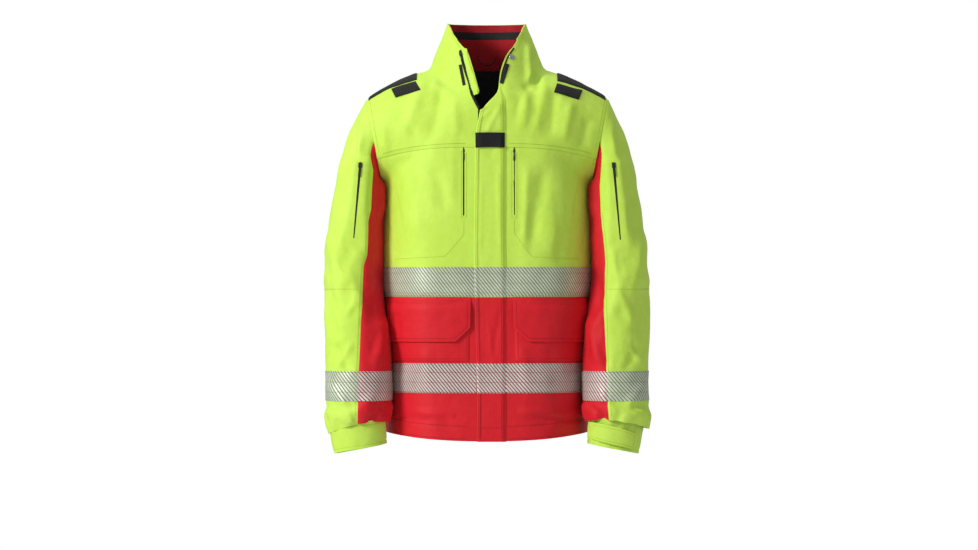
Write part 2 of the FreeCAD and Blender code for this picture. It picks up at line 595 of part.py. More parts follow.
# ------------------------------------------------------------------ check and write
doc.recompute()
bad = []
for o in doc.Objects:
    if any(k in o.State for k in ("Invalid", "Error")):
        bad.append("%s: %s" % (o.Name, o.State))
for o in NODES:
    s = o.Shape
    if s.isNull() or not s.isValid() or not s.Solids:
        bad.append("%s: bad shape" % o.Label)
if bad:
    print("\n".join(bad))
    sys.exit(1)
labels = [o.Label for o in NODES]
assert len(set(labels)) == len(labels) and len(labels) <= 60
os.makedirs("parts", exist_ok=True)
for o in NODES:
    o.Shape.exportStep("parts/%s.step" % o.Label)
    b = o.Shape.optimalBoundingBox(False)
    print("%-26s n=%d vol=%9.0f  x %7.1f %7.1f  y %7.1f %7.1f  z %7.1f %7.1f" % (
        o.Label, len(o.Shape.Solids), o.Shape.Volume, b.XMin, b.XMax, b.YMin, b.YMax, b.ZMin, b.ZMax))
print(len(labels), "nodes")
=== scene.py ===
import math

import bpy
import numpy as np
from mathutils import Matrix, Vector
from mathutils.bvhtree import BVHTree


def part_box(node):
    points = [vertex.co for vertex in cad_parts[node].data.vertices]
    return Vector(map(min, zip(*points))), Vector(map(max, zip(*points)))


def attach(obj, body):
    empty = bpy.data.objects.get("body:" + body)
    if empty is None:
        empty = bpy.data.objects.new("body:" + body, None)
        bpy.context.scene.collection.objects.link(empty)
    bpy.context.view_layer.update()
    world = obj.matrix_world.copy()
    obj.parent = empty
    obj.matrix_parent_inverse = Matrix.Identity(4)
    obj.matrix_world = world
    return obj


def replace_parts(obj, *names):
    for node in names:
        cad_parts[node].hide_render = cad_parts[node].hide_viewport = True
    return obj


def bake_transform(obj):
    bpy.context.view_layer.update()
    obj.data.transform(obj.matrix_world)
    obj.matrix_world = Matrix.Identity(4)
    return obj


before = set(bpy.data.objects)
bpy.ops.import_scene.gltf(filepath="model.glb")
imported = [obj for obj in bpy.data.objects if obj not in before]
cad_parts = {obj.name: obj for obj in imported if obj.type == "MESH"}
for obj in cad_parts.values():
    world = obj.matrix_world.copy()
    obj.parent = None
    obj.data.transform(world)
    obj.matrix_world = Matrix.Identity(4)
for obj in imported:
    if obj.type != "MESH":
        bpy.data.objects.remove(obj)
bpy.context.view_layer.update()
MM = 0.001


# ---------------------------------------------------------------- numbers
def lerp(a, b, t):
    return a + (b - a) * t


def smooth(a, b, x):
    t = np.clip((np.asarray(x, float) - a) / (b - a), 0.0, 1.0)
    return t * t * (3 - 2 * t)


_tables = {}


def noise(P, seed=1):
    """Smooth gradient noise, about -0.7 to 0.7, for an (n, 3) array."""
    if seed not in _tables:
        r = np.random.RandomState(seed)
        g = r.normal(size=(256, 3))
        _tables[seed] = (g / np.linalg.norm(g, axis=1)[:, None], r.permutation(256))
    grad, perm = _tables[seed]
    Q = np.asarray(P, float)
    I = np.floor(Q).astype(np.int64)
    F = Q - I
    U = F * F * F * (F * (F * 6 - 15) + 10)
    out = np.zeros(len(Q))
    for a in (0, 1):
        for b in (0, 1):
            for c in (0, 1):
                h = perm[(I[:, 0] + a) & 255]
                h = perm[(h + I[:, 1] + b) & 255]
                h = perm[(h + I[:, 2] + c) & 255]
                d = F - np.array([a, b, c])
                v = (grad[h] * d).sum(axis=1)
                w = np.where(a, U[:, 0], 1 - U[:, 0]) * np.where(b, U[:, 1], 1 - U[:, 1]) * np.where(c, U[:, 2], 1 - U[:, 2])
                out += v * w
    return out


def ridge(n):
    """Turns noise into soft creases."""
    return 0.35 - np.sqrt(n * n + 0.004)


def cat(points, n):
    """A Catmull-Rom curve through the points, n samples for each span."""
    P = np.asarray(points, float)
    P = np.vstack([2 * P[0] - P[1], P, 2 * P[-1] - P[-2]])
    out = []
    for i in range(1, len(P) - 2):
        for k in range(n):
            t = k / n
            a, b, c, d = P[i - 1], P[i], P[i + 1], P[i + 2]
            out.append(0.5 * ((2 * b) + (c - a) * t + (2 * a - 5 * b + 4 * c - d) * t * t + (3 * b - a - 3 * c + d) * t ** 3))
    out.append(P[-2])
    return np.array(out)


def resample(P, step):
    P = np.asarray(P, float)
    s = np.concatenate([[0], np.cumsum(np.linalg.norm(np.diff(P, axis=0), axis=1))])
    n = max(2, int(round(s[-1] / step)) + 1)
    t = np.linspace(0, s[-1], n)
    return np.stack([np.interp(t, s, P[:, k]) for k in range(P.shape[1])], axis=1)


# ---------------------------------------------------------------- meshes
def face_normals(V, F):
    a, b, c = V[F[:, 0]], V[F[:, 1]], V[F[:, 2]]
    if F.shape[1] == 4:
        d = V[F[:, 3]]
        return np.cross(c - a, d - b)
    return np.cross(b - a, c - a)


def normals(V, F):
    fn = face_normals(V, F)
    N = np.zeros_like(V)
    for k in range(F.shape[1]):
        np.add.at(N, F[:, k], fn)
    L = np.linalg.norm(N, axis=1)
    L[L == 0] = 1
    return N / L[:, None]


def compact(V, F, *extra):
    used = np.unique(F)
    m = -np.ones(len(V), int)
    m[used] = np.arange(len(used))
    return (V[used], m[F]) + tuple(e[used] if e is not None else None for e in extra)


def rim_edges(F):
    k = F.shape[1]
    E = np.concatenate([F[:, [i, (i + 1) % k]] for i in range(k)])
    E = E[E[:, 0] != E[:, 1]]
    big = int(F.max()) + 1
    key = E[:, 0] * big + E[:, 1]
    rev = E[:, 1] * big + E[:, 0]
    return E[~np.isin(key, rev)]


def mesh_obj(name, V, F, mats, uv=None, mat_index=None, flat=False):
    """V in mm; F a list of (m, k) arrays or one array."""
    Fs = F if isinstance(F, list) else [F]
    faces = [tuple(int(i) for i in f) for arr in Fs for f in arr]
    me = bpy.data.meshes.new(name)
    me.from_pydata((np.asarray(V) * MM).tolist(), [], faces)
    if uv is not None:
        layer = me.uv_layers.new(name="UVMap")
        idx = np.empty(len(me.loops), dtype=np.int32)
        me.loops.foreach_get("vertex_index", idx)
        layer.data.foreach_set("uv", np.ascontiguousarray((np.asarray(uv) * MM)[idx], dtype=np.float32).ravel())
    for m in (mats if isinstance(mats, (list, tuple)) else [mats]):
        me.materials.append(m)
    if mat_index is not None:
        me.polygons.foreach_set("material_index", np.asarray(mat_index, dtype=np.int32))
    me.polygons.foreach_set("use_smooth", np.full(len(me.polygons), not flat))
    me.validate(verbose=False)
    me.update()
    ob = bpy.data.objects.new(name, me)
    bpy.context.scene.collection.objects.link(ob)
    return ob


def thick(V, F, t, uv=None, N=None):
    """A sheet given thickness t towards the back, closed round its rim. Returns V, [faces], uv."""
    if N is None:
        N = normals(V, F)
    t = np.asarray(t, float)
    if t.ndim == 0:
        t = np.full(len(V), float(t))
    n = len(V)
    V2 = np.vstack([V, V - N * t[:, None]])
    back = F[:, ::-1] + n
    E = rim_edges(F)
    # the rim has its own points, so that its edges stay crisp
    ring, inv = np.unique(E, return_inverse=True)
    inv = inv.reshape(E.shape)
    m = len(ring)
    V2 = np.vstack([V2, V2[ring], V2[ring + n]])
    a, b = 2 * n + inv[:, 0], 2 * n + inv[:, 1]
    side = np.stack([b, a, a + m, b + m], axis=1)
    uv2 = None if uv is None else np.vstack([uv, uv, uv[ring], uv[ring]])
    if F.shape[1] == 4:
        return V2, [np.vstack([F, back, side])], uv2
    return V2, [np.vstack([F, back]), side], uv2


def grid_faces(nu, nv, wrap=False):
    """Faces of a grid whose vertex (i, j) is i * nv + j."""
    i = np.arange(nu if wrap else nu - 1)
    j = np.arange(nv - 1)
    I, J = np.meshgrid(i, j, indexing="ij")
    I, J = I.ravel(), J.ravel()
    K = (I + 1) % nu
    return np.stack([I * nv + J, K * nv + J, K * nv + J + 1, I * nv + J + 1], axis=1)


def cut(V, F, fun, lab=None, snap=0.22):
    """Splits the triangles along fun = 0. Returns V, F, side (+1 or -1) and the labels."""
    f = fun(V)
    E = np.concatenate([F[:, [0, 1]], F[:, [1, 2]], F[:, [2, 0]]])
    length = np.linalg.norm(V[F[:, 0]] - V[F[:, 1]], axis=1).mean()
    near = np.abs(f) < snap * length
    on = np.unique(E[(f[E[:, 0]] > 0) != (f[E[:, 1]] > 0)])
    mask = np.zeros(len(V), bool)
    mask[on] = True
    near &= mask
    if near.any():
        P = V[near]
        g = np.zeros_like(P)
        for k in range(3):
            D = P.copy()
            D[:, k] += 0.05
            g[:, k] = (fun(D) - f[near]) / 0.05
        gg = (g * g).sum(axis=1)
        gg[gg < 0.05] = 1e9
        V = V.copy()
        V[near] = P - g * (f[near] / gg)[:, None]
        f = f.copy()
        f[near] = 0.0
    s = np.sign(f).astype(int)
    pos = (s[F] > 0).sum(axis=1)
    neg = (s[F] < 0).sum(axis=1)
    keep = (pos == 0) | (neg == 0)
    whole, split = F[keep], F[~keep]
    side = np.where(pos[keep] > 0, 1, -1)
    lw = None if lab is None else lab[keep]
    ls = None if lab is None else lab[~keep]
    if len(split) == 0:
        return V, whole, side, lw
    newV, cache = [], {}
    base = len(V)

    def mid(a, b):
        k = (a, b) if a < b else (b, a)
        if k not in cache:
            t = f[a] / (f[a] - f[b])
            cache[k] = base + len(newV)
            newV.append(V[a] + (V[b] - V[a]) * t)
        return cache[k]

    out, oside, olab = [], [], []
    for q, tri in enumerate(split):
        poly = {1: [], -1: []}
        for k in range(3):
            a, b = int(tri[k]), int(tri[(k + 1) % 3])
            if s[a] >= 0:
                poly[1].append(a)
            if s[a] <= 0:
                poly[-1].append(a)
            if s[a] * s[b] < 0:
                m = mid(a, b)
                poly[1].append(m)
                poly[-1].append(m)
        for w in (1, -1):
            p = poly[w]
            for k in range(1, len(p) - 1):
                out.append((p[0], p[k], p[k + 1]))
                oside.append(w)
                if lab is not None:
                    olab.append(ls[q])
    V = np.vstack([V, np.array(newV)]) if newV else V
    F = np.vstack([whole, np.array(out)])
    side = np.concatenate([side, oside])
    lab2 = None if lab is None else np.concatenate([lw, olab])
    return V, F, side, lab2


class Surf:
    """A surface to drop pieces on."""

    def __init__(self, V, F):
        self.tree = BVHTree.FromPolygons([tuple(v) for v in V.tolist()], [tuple(f) for f in F.tolist()])

    def hit(self, o, d, far=900.0):
        loc, n, i, dist = self.tree.ray_cast(Vector(o), Vector(d), far)
        if loc is None:
            return None, None
        if n.dot(Vector(d)) > 0:
            n = -n
        return np.array(loc), np.array(n)

    def near(self, p):
        loc, n, i, dist = self.tree.find_nearest(Vector(p))
        return np.array(loc), np.array(n)

    def front(self, XZ, side=-1):
        """Drops (x, z) points on the front (side -1) or back, from outside."""
        P, N = [], []
        last = None
        for x, z in XZ:
            loc, n = self.hit((x, side * 500.0, z), (0, -side, 0))
            if loc is None:
                loc, n = self.near((x, side * 120.0, z))
            P.append(loc)
            N.append(n)
        return np.array(P), np.array(N)


def smooth_grid(P, nu, nv, times=2, wrap=False):
    """Averages normals or points over a grid's neighbours."""
    A = P.reshape(nu, nv, 3)
    for _ in range(times):
        B = A.copy()
        B[:, 1:-1] = (A[:, :-2] + 2 * A[:, 1:-1] + A[:, 2:]) / 4
        C = B.copy()
        if wrap:
            C = (np.roll(B, 1, axis=0) + 2 * B + np.roll(B, -1, axis=0)) / 4
        else:
            C[1:-1] = (B[:-2] + 2 * B[1:-1] + B[2:]) / 4
        A = C
    return A.reshape(-1, 3)


def unit(A):
    A = np.asarray(A, float)
    L = np.linalg.norm(A, axis=-1, keepdims=True)
    L[L == 0] = 1
    return A / L


def capsules(P, N, length=2.7, pitch=4.1, width=0.8, lift=0.25, height=0.55):
    """Stitches along a path with its surface normals: small rounded solids, V and F."""
    s = np.concatenate([[0], np.cumsum(np.linalg.norm(np.diff(P, axis=0), axis=1))])
    n = int((s[-1] - 1.0) / pitch)
    if n < 1:
        return None
    t0 = np.arange(n) * pitch + 1.0
    ends = []
    for tt in (t0, t0 + length * 0.5, t0 + length):
        ends.append(np.stack([np.interp(tt, s, P[:, k]) for k in range(3)], axis=1))
    nn = unit(np.stack([np.interp(t0 + length / 2, s, N[:, k]) for k in range(3)], axis=1))
    A, M, B = ends
    d = unit(B - A)
    w = unit(np.cross(d, nn))
    base = -0.35
    rows = []
    for C, wid, hi in ((A, 0.35, lift), (lerp(A, M, 0.4), 1.0, height), (lerp(B, M, 0.4), 1.0, height), (B, 0.35, lift)):
        for u, h in ((-0.5, base), (-0.38, 0.75), (0.38, 0.75), (0.5, base)):
            rows.append(C + w * (u * width * wid) + nn * (hi * h if h > 0 else h * 0.6))
    V = np.stack(rows, axis=1)
    F0 = []
    for r in range(3):
        for c in range(3):
            a = r * 4 + c
            F0.append((a, a + 1, a + 5, a + 4))
        F0.append((r * 4 + 3, r * 4, r * 4 + 4, r * 4 + 7))
    F0 += [(0, 3, 2, 1), (12, 13, 14, 15)]
    F0 = np.array(F0)[:, ::-1]
    F = (F0[None] + (np.arange(n) * 16)[:, None, None]).reshape(-1, 4)
    return V.reshape(-1, 3), F


def join(parts):
    Vs, Fs, base = [], [], 0
    for V, F in parts:
        Vs.append(V)
        Fs.append(F + base)
        base += len(V)
    return np.vstack(Vs), np.vstack(Fs)


# ---------------------------------------------------------------- materials
def srgb(r, g, b):
    def lin(c):
        c /= 255.0
        return c / 12.92 if c <= 0.04045 else ((c + 0.055) / 1.055) ** 2.4
    return (lin(r), lin(g), lin(b), 1.0)


class Mat:
    def __init__(self, name, rough=0.6, metal=0.0, sheen=0.0, spec=0.5, coat=0.0):
        self.m = bpy.data.materials.new(name)
        self.m.use_nodes = True
        self.t = self.m.node_tree
        self.t.nodes.clear()
        self.out = self.t.nodes.new("ShaderNodeOutputMaterial")
        self.b = self.t.nodes.new("ShaderNodeBsdfPrincipled")
        self.t.links.new(self.b.outputs["BSDF"], self.out.inputs["Surface"])
        self.b.inputs["Roughness"].default_value = rough
        self.b.inputs["Metallic"].default_value = metal
        self.b.inputs["Specular IOR Level"].default_value = spec
        self.b.inputs["Sheen Weight"].default_value = sheen
        self.b.inputs["Sheen Roughness"].default_value = 0.4
        self.b.inputs["Coat Weight"].default_value = coat
        self.b.inputs["Coat Roughness"].default_value = 0.25

    def n(self, kind, **kw):
        node = self.t.nodes.new(kind)
        for k, v in kw.items():
            if k in node.inputs:
                node.inputs[k].default_value = v
            else:
                setattr(node, k, v)
        return node

    def l(self, a, b):
        self.t.links.new(a, b)

    def coord(self, kind="Object"):
        return self.n("ShaderNodeTexCoord").outputs[kind]

    def mapped(self, src, scale, rot=(0, 0, 0)):
        mp = self.n("ShaderNodeMapping")
        mp.inputs["Scale"].default_value = scale
        mp.inputs["Rotation"].default_value = rot
        self.l(src, mp.inputs["Vector"])
        return mp.outputs["Vector"]

    def math(self, op, a, b=None, c=None, clamp=False):
        nd = self.n("ShaderNodeMath", operation=op)
        nd.use_clamp = clamp
        for i, v in enumerate((a, b, c)):
            if v is None:
                continue
            if isinstance(v, (int, float)):
                nd.inputs[i].default_value = v
            else:
                self.l(v, nd.inputs[i])
        return nd.outputs[0]

    def noise(self, vec, scale, detail=3.0, rough=0.55):
        nd = self.n("ShaderNodeTexNoise", Scale=scale, Detail=detail, Roughness=rough)
        self.l(vec, nd.inputs["Vector"])
        return nd.outputs["Fac"]

    def ramp(self, fac, stops):
        nd = self.n("ShaderNodeValToRGB")
        els = nd.color_ramp.elements
        while len(els) < len(stops):
            els.new(0.5)
        for e, (p, c) in zip(els, stops):
            e.position = p
            e.color = c
        self.l(fac, nd.inputs["Fac"])
        return nd.outputs["Color"]

    def mix(self, fac, a, b, blend="MIX"):
        nd = self.n("ShaderNodeMix", data_type="RGBA", blend_type=blend)
        for sock, v in ((nd.inputs[0], fac), (nd.inputs[6], a), (nd.inputs[7], b)):
            if isinstance(v, (int, float)):
                sock.default_value = v
            elif isinstance(v, tuple):
                sock.default_value = v
            else:
                self.l(v, sock)
        return nd.outputs[2]

    def bump(self, h, strength, dist, prev=None):
        nd = self.n("ShaderNodeBump")
        nd.inputs["Strength"].default_value = strength
        nd.inputs["Distance"].default_value = dist
        self.l(h, nd.inputs["Height"])
        if prev is not None:
            self.l(prev, nd.inputs["Normal"])
        return nd.outputs["Normal"]

    def weave(self, vec, pitch):
        """Plain weave height from two crossed waves; vec in metres."""
        k = 1.0 / pitch
        sep = self.n("ShaderNodeSeparateXYZ")
        self.l(vec, sep.inputs[0])
        two = 2 * math.pi * k
        h = self.math("ADD", sep.outputs["X"], sep.outputs["Y"])
        a = self.math("SINE", self.math("MULTIPLY", h, two))
        b = self.math("SINE", self.math("MULTIPLY", sep.outputs["Z"], two))
        return self.math("MULTIPLY_ADD", self.math("MULTIPLY", a, b), 0.5, 0.5)


def darker(c, f):
    return (c[0] * f, c[1] * f, c[2] * f, 1.0)


def fabric(name, col, shade, rough=0.62, weave=0.0011, sheen=0.05, wave_bump=0.25, crease=0.4, spec=0.26):
    """Woven shell cloth: slow tone drift, small creases, a fine weave."""
    m = Mat(name, rough=rough, sheen=sheen, spec=spec)
    v = m.coord()
    big = m.noise(v, 9.0, 3.0)
    small = m.noise(v, 75.0, 4.0)
    tone = m.math("ADD", m.math("MULTIPLY", big, 0.6), m.math("MULTIPLY", small, 0.4))
    c = m.ramp(tone, [(0.3, shade), (0.7, col)])
    w = m.weave(v, weave)
    c2 = m.mix(m.math("MULTIPLY", w, 0.14), c, darker(shade, 0.72))
    m.l(c2, m.b.inputs["Base Color"])
    r = m.math("MULTIPLY_ADD", small, 0.22, rough - 0.11)
    m.l(r, m.b.inputs["Roughness"])
    nb = m.bump(m.noise(v, 30.0, 5.0, 0.6), crease, 0.004)
    nb = m.bump(m.noise(v, 140.0, 3.0), 0.25, 0.0012, nb)
    nb = m.bump(w, wave_bump, 0.0003, nb)
    m.l(nb, m.b.inputs["Normal"])
    return m.m


def tape(name, base, gap_painted_shade_dark, silver=(214, 218, 208)):
    """Segmented reflective band: slanting silver bars, with the cloth between them given a darkened colour that is
    painted shade. UV in metres, u along the band.
    """
    m = Mat(name, rough=0.4, spec=0.5)
    uv = m.coord("UV")
    sep = m.n("ShaderNodeSeparateXYZ")
    m.l(uv, sep.inputs[0])
    u, v = sep.outputs["X"], sep.outputs["Y"]
    slant = m.math("MULTIPLY_ADD", v, 0.8, u)
    ph = m.math("FRACT", m.math("MULTIPLY", slant, 1 / 0.0060))
    bar = m.math("LESS_THAN", ph, 0.60)
    row = m.math("FRACT", m.math("MULTIPLY", v, 1 / 0.0175))
    gap = m.math("GREATER_THAN", row, 0.04)
    fac = m.math("MULTIPLY", bar, gap)
    o = m.coord()
    drift = m.noise(o, 22.0, 3.0)
    sil = m.ramp(drift, [(0.3, darker(srgb(*silver), 0.8)), (0.72, srgb(*silver))])
    # the cloth between the bars: its base colours are the cloth colours darkened, painted shade
    gap_cloth_painted_shade = m.ramp(drift, [(0.3, gap_painted_shade_dark), (0.7, base)])
    m.l(m.mix(fac, gap_cloth_painted_shade, sil), m.b.inputs["Base Color"])
    m.l(m.math("MULTIPLY", fac, 0.22), m.b.inputs["Metallic"])
    m.l(m.math("MULTIPLY_ADD", fac, -0.1, 0.62), m.b.inputs["Roughness"])
    grit = m.noise(o, 1500.0, 2.0)
    nb = m.bump(m.noise(o, 35.0, 4.0), 0.3, 0.003)
    nb = m.bump(m.math("ADD", fac, m.math("MULTIPLY", grit, 0.4)), 0.5, 0.0002, nb)
    m.l(nb, m.b.inputs["Normal"])
    return m.m


def plastic(name, col, rough=0.38, metal=0.0, spec=0.5):
    m = Mat(name, rough=rough, metal=metal, spec=spec)
    v = m.coord()
    n1 = m.noise(v, 400.0, 3.0)
    n2 = m.noise(v, 60.0, 2.0)
    m.l(m.ramp(n2, [(0.3, darker(col, 0.75)), (0.75, col)]), m.b.inputs["Base Color"])
    m.l(m.math("MULTIPLY_ADD", n1, 0.2, rough - 0.1), m.b.inputs["Roughness"])
    m.l(m.bump(n1, 0.2, 0.0003), m.b.inputs["Normal"])
    return m.m


def webbing(name, col, dark, pitch=0.0016):
    """Ribbed or looped trim."""
    m = Mat(name, rough=0.75, sheen=0.05, spec=0.3)
    v = m.coord()
    w = m.weave(v, pitch)
    n1 = m.noise(v, 320.0, 3.0)
    c = m.ramp(m.math("MULTIPLY_ADD", w, 0.6, m.math("MULTIPLY", n1, 0.4)), [(0.25, dark), (0.8, col)])
    m.l(c, m.b.inputs["Base Color"])
    m.l(m.bump(w, 0.6, 0.0006, m.bump(n1, 0.4, 0.0008)), m.b.inputs["Normal"])
    return m.m


YEL, YEL_D = srgb(204, 238, 96), srgb(190, 228, 74)
RED, RED_D = srgb(222, 26, 40), srgb(204, 18, 32)
M_YEL = fabric("cloth_yellow", YEL, YEL_D)
M_RED = fabric("cloth_red", RED, RED_D)
M_RED_IN = fabric("cloth_red_lining", srgb(190, 30, 40), srgb(150, 18, 26), rough=0.7)
M_BLK_IN = fabric("cloth_black_lining", srgb(44, 44, 46), srgb(26, 26, 28), rough=0.7, weave=0.0014)
# band gaps: darkened olive and dull red stand for the yellow and red cloth in shadow, painted shade
M_TAPE_Y = tape("band_on_yellow", srgb(118, 140, 62), srgb(96, 118, 50))
M_TAPE_R = tape("band_on_red", srgb(160, 58, 66), srgb(134, 42, 52))
M_WEB = webbing("webbing_black", srgb(30, 31, 29), srgb(8, 8, 8))
M_HOOK = webbing("hook_black", srgb(40, 40, 40), srgb(10, 10, 10), 0.0024)
M_ZIP = plastic("zip_black", srgb(34, 35, 36))
M_SNAP = plastic("snap_steel", srgb(190, 192, 196), rough=0.25, metal=1.0)
M_THY = plastic("thread_yellow", srgb(168, 196, 20), rough=0.7, spec=0.3)
M_THR = plastic("thread_red", srgb(150, 18, 28), rough=0.7, spec=0.3)
M_THG = plastic("thread_grey", srgb(150, 156, 140), rough=0.7, spec=0.3)
M_THK = plastic("thread_black", srgb(26, 26, 26), rough=0.7, spec=0.3)


# ---------------------------------------------------------------- trunk, shoulders and collar as one surface
FRONT0 = 115.0


def plane_y(z):
    """The flat front's y at height z."""
    return -(FRONT0 + 0.05 * np.abs(z))


TRUNK = np.array([  # z, half width, half depth of the ellipse, middle y
    (-700, 181, 179, 0), (-646, 180, 176, 0), (-560, 180.5, 170, 0), (-475, 181, 166, 0), (-410, 187, 162, 0), (-360, 190, 160, 0), (-300, 190, 157, 0),
    (-240, 188, 152.4, 0), (-200, 186.5, 150, 0), (-120, 180, 144, 0), (-60, 150, 132, 0), (-25, 118, 106, 1), (4, 101, 89, 3), (20, 97, 83, 4)], float)
TUBE = np.array([  # x, top z, bottom z, half depth
    (0, 0, -222, 119), (98, 13, -222, 113), (123, 8, -222, 110), (150, -3, -208, 99), (176, -16, -195, 89),
    (203, -31, -186, 78), (214, -38, -184, 74), (245, -66, -180, 62)], float)
NECK = np.array([  # z, half width, half depth, middle y
    (-45, 124, 106, 1), (-15, 108, 96, 2), (12, 101, 87, 3.5), (26, 97.5, 84, 4), (41, 92, 80, 5), (69, 80.5, 71, 8), (93, 71.5, 65, 10), (112, 67, 62, 11)], float)


def table(T, key, col):
    k = T[:, 0]
    o = np.argsort(k)
    return np.interp(key, k[o], T[o, col])


def closed(rows):
    """A closed skin through rings of equal length."""
    n, m = len(rows), len(rows[0])
    V = np.vstack(rows)
    F = []
    for i in range(n - 1):
        for j in range(m):
            k = (j + 1) % m
            F.append((i * m + j, i * m + k, (i + 1) * m + k, (i + 1) * m + j))
    F = [tuple(f) for f in F] + [tuple(range(m - 1, -1, -1)), tuple((n - 1) * m + j for j in range(m))]
    return V, F


def softmin(a, b, k=14.0):
    return -k * np.log(np.exp(-a / k) + np.exp(-b / k)) + 0.0


def skin():
    ph = np.linspace(0, 2 * np.pi, 144, endpoint=False)
    solids = []
    rows = []
    for z in np.linspace(-690, 18, 90):
        hw, hd, cy = (table(TRUNK, z, c) for c in (1, 2, 3))
        x, ye = hw * np.cos(ph), hd * np.sin(ph)
        flat = FRONT0 + 0.6 + 0.05 * abs(z) + 2.2 - 5.0 * (x / 120.0) ** 2
        y = np.sign(ye) * np.maximum(softmin(np.abs(ye), flat, 6.0), 0.0)
        rows.append(np.stack([x, y + cy, np.full_like(x, z)], axis=1))
    solids.append(closed(rows))
    rows = []
    for x in np.linspace(-243, 243, 90):
        a = abs(x)
        top, bot, d = (table(TUBE, a, c) for c in (1, 2, 3))
        cz, h = (top + bot) / 2, (top - bot) / 2
        y = d * np.cos(ph)
        y = np.sign(y) * np.maximum(softmin(np.abs(y), np.full_like(y, FRONT0 + 2.0), 5.0), 0)
        rows.append(np.stack([np.full_like(ph, x), y, cz + h * np.sin(ph)], axis=1))
    solids.append(closed(rows))
    rows = []
    for z in np.linspace(-45, 112, 30):
        hw, hd, cy = (table(NECK, z, c) for c in (1, 2, 3))
        rows.append(np.stack([hw * np.cos(ph), hd * np.sin(ph) + cy, np.full_like(ph, z)], axis=1))
    solids.append(closed(rows))
    me = bpy.data.meshes.new("tmp_skin")
    V, F, base = [], [], 0
    for v, f in solids:
        V += (v * MM).tolist()
        F += [tuple(i + base for i in q) for q in f]
        base += len(v)
    me.from_pydata(V, [], F)
    me.update()
    ob = bpy.data.objects.new("tmp_skin", me)
    bpy.context.scene.collection.objects.link(ob)
    import bmesh
    bm = bmesh.new()
    bm.from_mesh(me)
    bmesh.ops.recalc_face_normals(bm, faces=bm.faces)
    bm.to_mesh(me)
    bm.free()
    md = ob.modifiers.new("r", "REMESH")
    md.mode = "VOXEL"
    md.voxel_size = 0.0036
    md.adaptivity = 0
    dg = bpy.context.evaluated_depsgraph_get()
    ev = ob.evaluated_get(dg)
    em = ev.to_mesh()
    em.calc_loop_triangles()
    P = np.empty(len(em.vertices) * 3, dtype=np.float32)
    em.vertices.foreach_get("co", P)
    T = np.empty(len(em.loop_triangles) * 3, dtype=np.int32)
    em.loop_triangles.foreach_get("vertices", T)
    ev.to_mesh_clear()
    bpy.data.objects.remove(ob)
    bpy.data.meshes.remove(me)
    return P.reshape(-1, 3).astype(float) / MM, T.reshape(-1, 3).astype(int)


def relax(V, F, times, lam=0.5):
    E = np.concatenate([F[:, [0, 1]], F[:, [1, 2]], F[:, [2, 0]]])
    E = np.unique(np.sort(E, axis=1), axis=0)
    cnt = np.zeros(len(V))
    np.add.at(cnt, E.ravel(), 1)
    for _ in range(times):
        S = np.zeros_like(V)
        np.add.at(S, E[:, 0], V[E[:, 1]])
        np.add.at(S, E[:, 1], V[E[:, 0]])
        V = V + lam * (S / cnt[:, None] - V)
    return V


BV, BF = skin()
BV = relax(BV, BF, 16)


# fields, in mm, positive on the side named
def hem_line(x):
    return -646.0 + 13.0 * (np.abs(x) / 178.0) ** 2.2


def f_hem(V):
    return V[:, 2] - hem_line(V[:, 0])


def arm_plane(z):
    return 200.0 + (np.maximum(z, -192.0) + 115.0) * 0.1835


def f_arm(V):
    return np.maximum(arm_plane(V[:, 2]) - np.abs(V[:, 0]), -201.0 - V[:, 2])


VL = np.array([(-75, -15.5), (-60, -13.5), (-55, -15.5), (-46, -21.5), (-40, -25.0), (-35.5, -24.5), (-33, -18), (-31, -14.5), (-26, -14.0), (10, -24), (30, -30), (48, -36), (62, -40)], float)
VR = np.array([(-75, -9.0), (-60, -8.0), (-52, -2.0), (-44, 5.3), (-37, 12.5), (-30, 17.8), (-22, 20.3), (-14, 21), (0, 22.5), (9, 24), (22, 27.8), (35, 33), (46, 40), (53, 46), (64, 54)], float)


def xl(z):
    return np.interp(z, VL[:, 0], VL[:, 1])


def xr(z):
    return np.interp(z, VR[:, 0], VR[:, 1])


def f_vee(V):
    x, y, z = V.T
    inside = np.minimum(np.minimum(x - xl(z), xr(z) - x), np.minimum(z + 62.0, -20.0 - y))
    return -inside


def f_gap(V):
    x, y, z = V.T
    inside = np.minimum(np.minimum(8.0 - np.abs(x + 8.0), -54.0 - z), -20.0 - y)
    return -inside


def f_slit(V):
    x, y, z = V.T
    a = np.minimum(1.6 - np.abs(x + 41.0), np.minimum(z + 249.0, -127.0 - z))
    b = np.minimum(1.3 - np.abs(x - 48.0), np.minimum(z + 249.0, -127.0 - z))
    return -np.minimum(np.maximum(a, b), -20.0 - y)


def roof(y):
    return np.interp(y, [-90, -67, -62, -43, -21.5, -8, 6, 90], [45.5, 47.5, 50.5, 70, 88, 94.5, 97.0, 97.5])


def f_roof(V):
    return roof(V[:, 1]) - V[:, 2]


def f_collar(V):
    """Positive on the collar."""
    x, y, z = V.T
    base = np.where(y < 0, 14.0, 20.0)
    return np.minimum(z - 16.0, 118.0 - np.abs(x))


def f_yoke(V):
    x, y, z = V.T
    drop = 20.0 * np.minimum(1.0, np.abs(x) / 195.0) ** 3
    front = z + 127.0 + drop
    back = z + 150.0 + 6.0 * (np.abs(x) / 180.0) ** 2
    t = smooth(-10, 10, y)
    return front * (1 - t) + back * t


def f_waist(V):
    return V[:, 2] + 392.0


RS = np.array([(-400, 178), (-291, 179), (-231, 180.5), (-203, 179), (-171, 176), (-150, 184), (-132, 194), (-118, 203)], float)


def f_side(V):
    """Positive inside the yellow front; the red side lies outside it."""
    x, y, z = V.T
    yb = np.interp(z, [-400, -250, -212, -203, -196, -190], [30, 28, 22, 10, -2, -14])
    return np.maximum(np.abs(y - 3.0) - yb, 120.0 - np.abs(x))


def f_mid(V):
    return -V[:, 0]


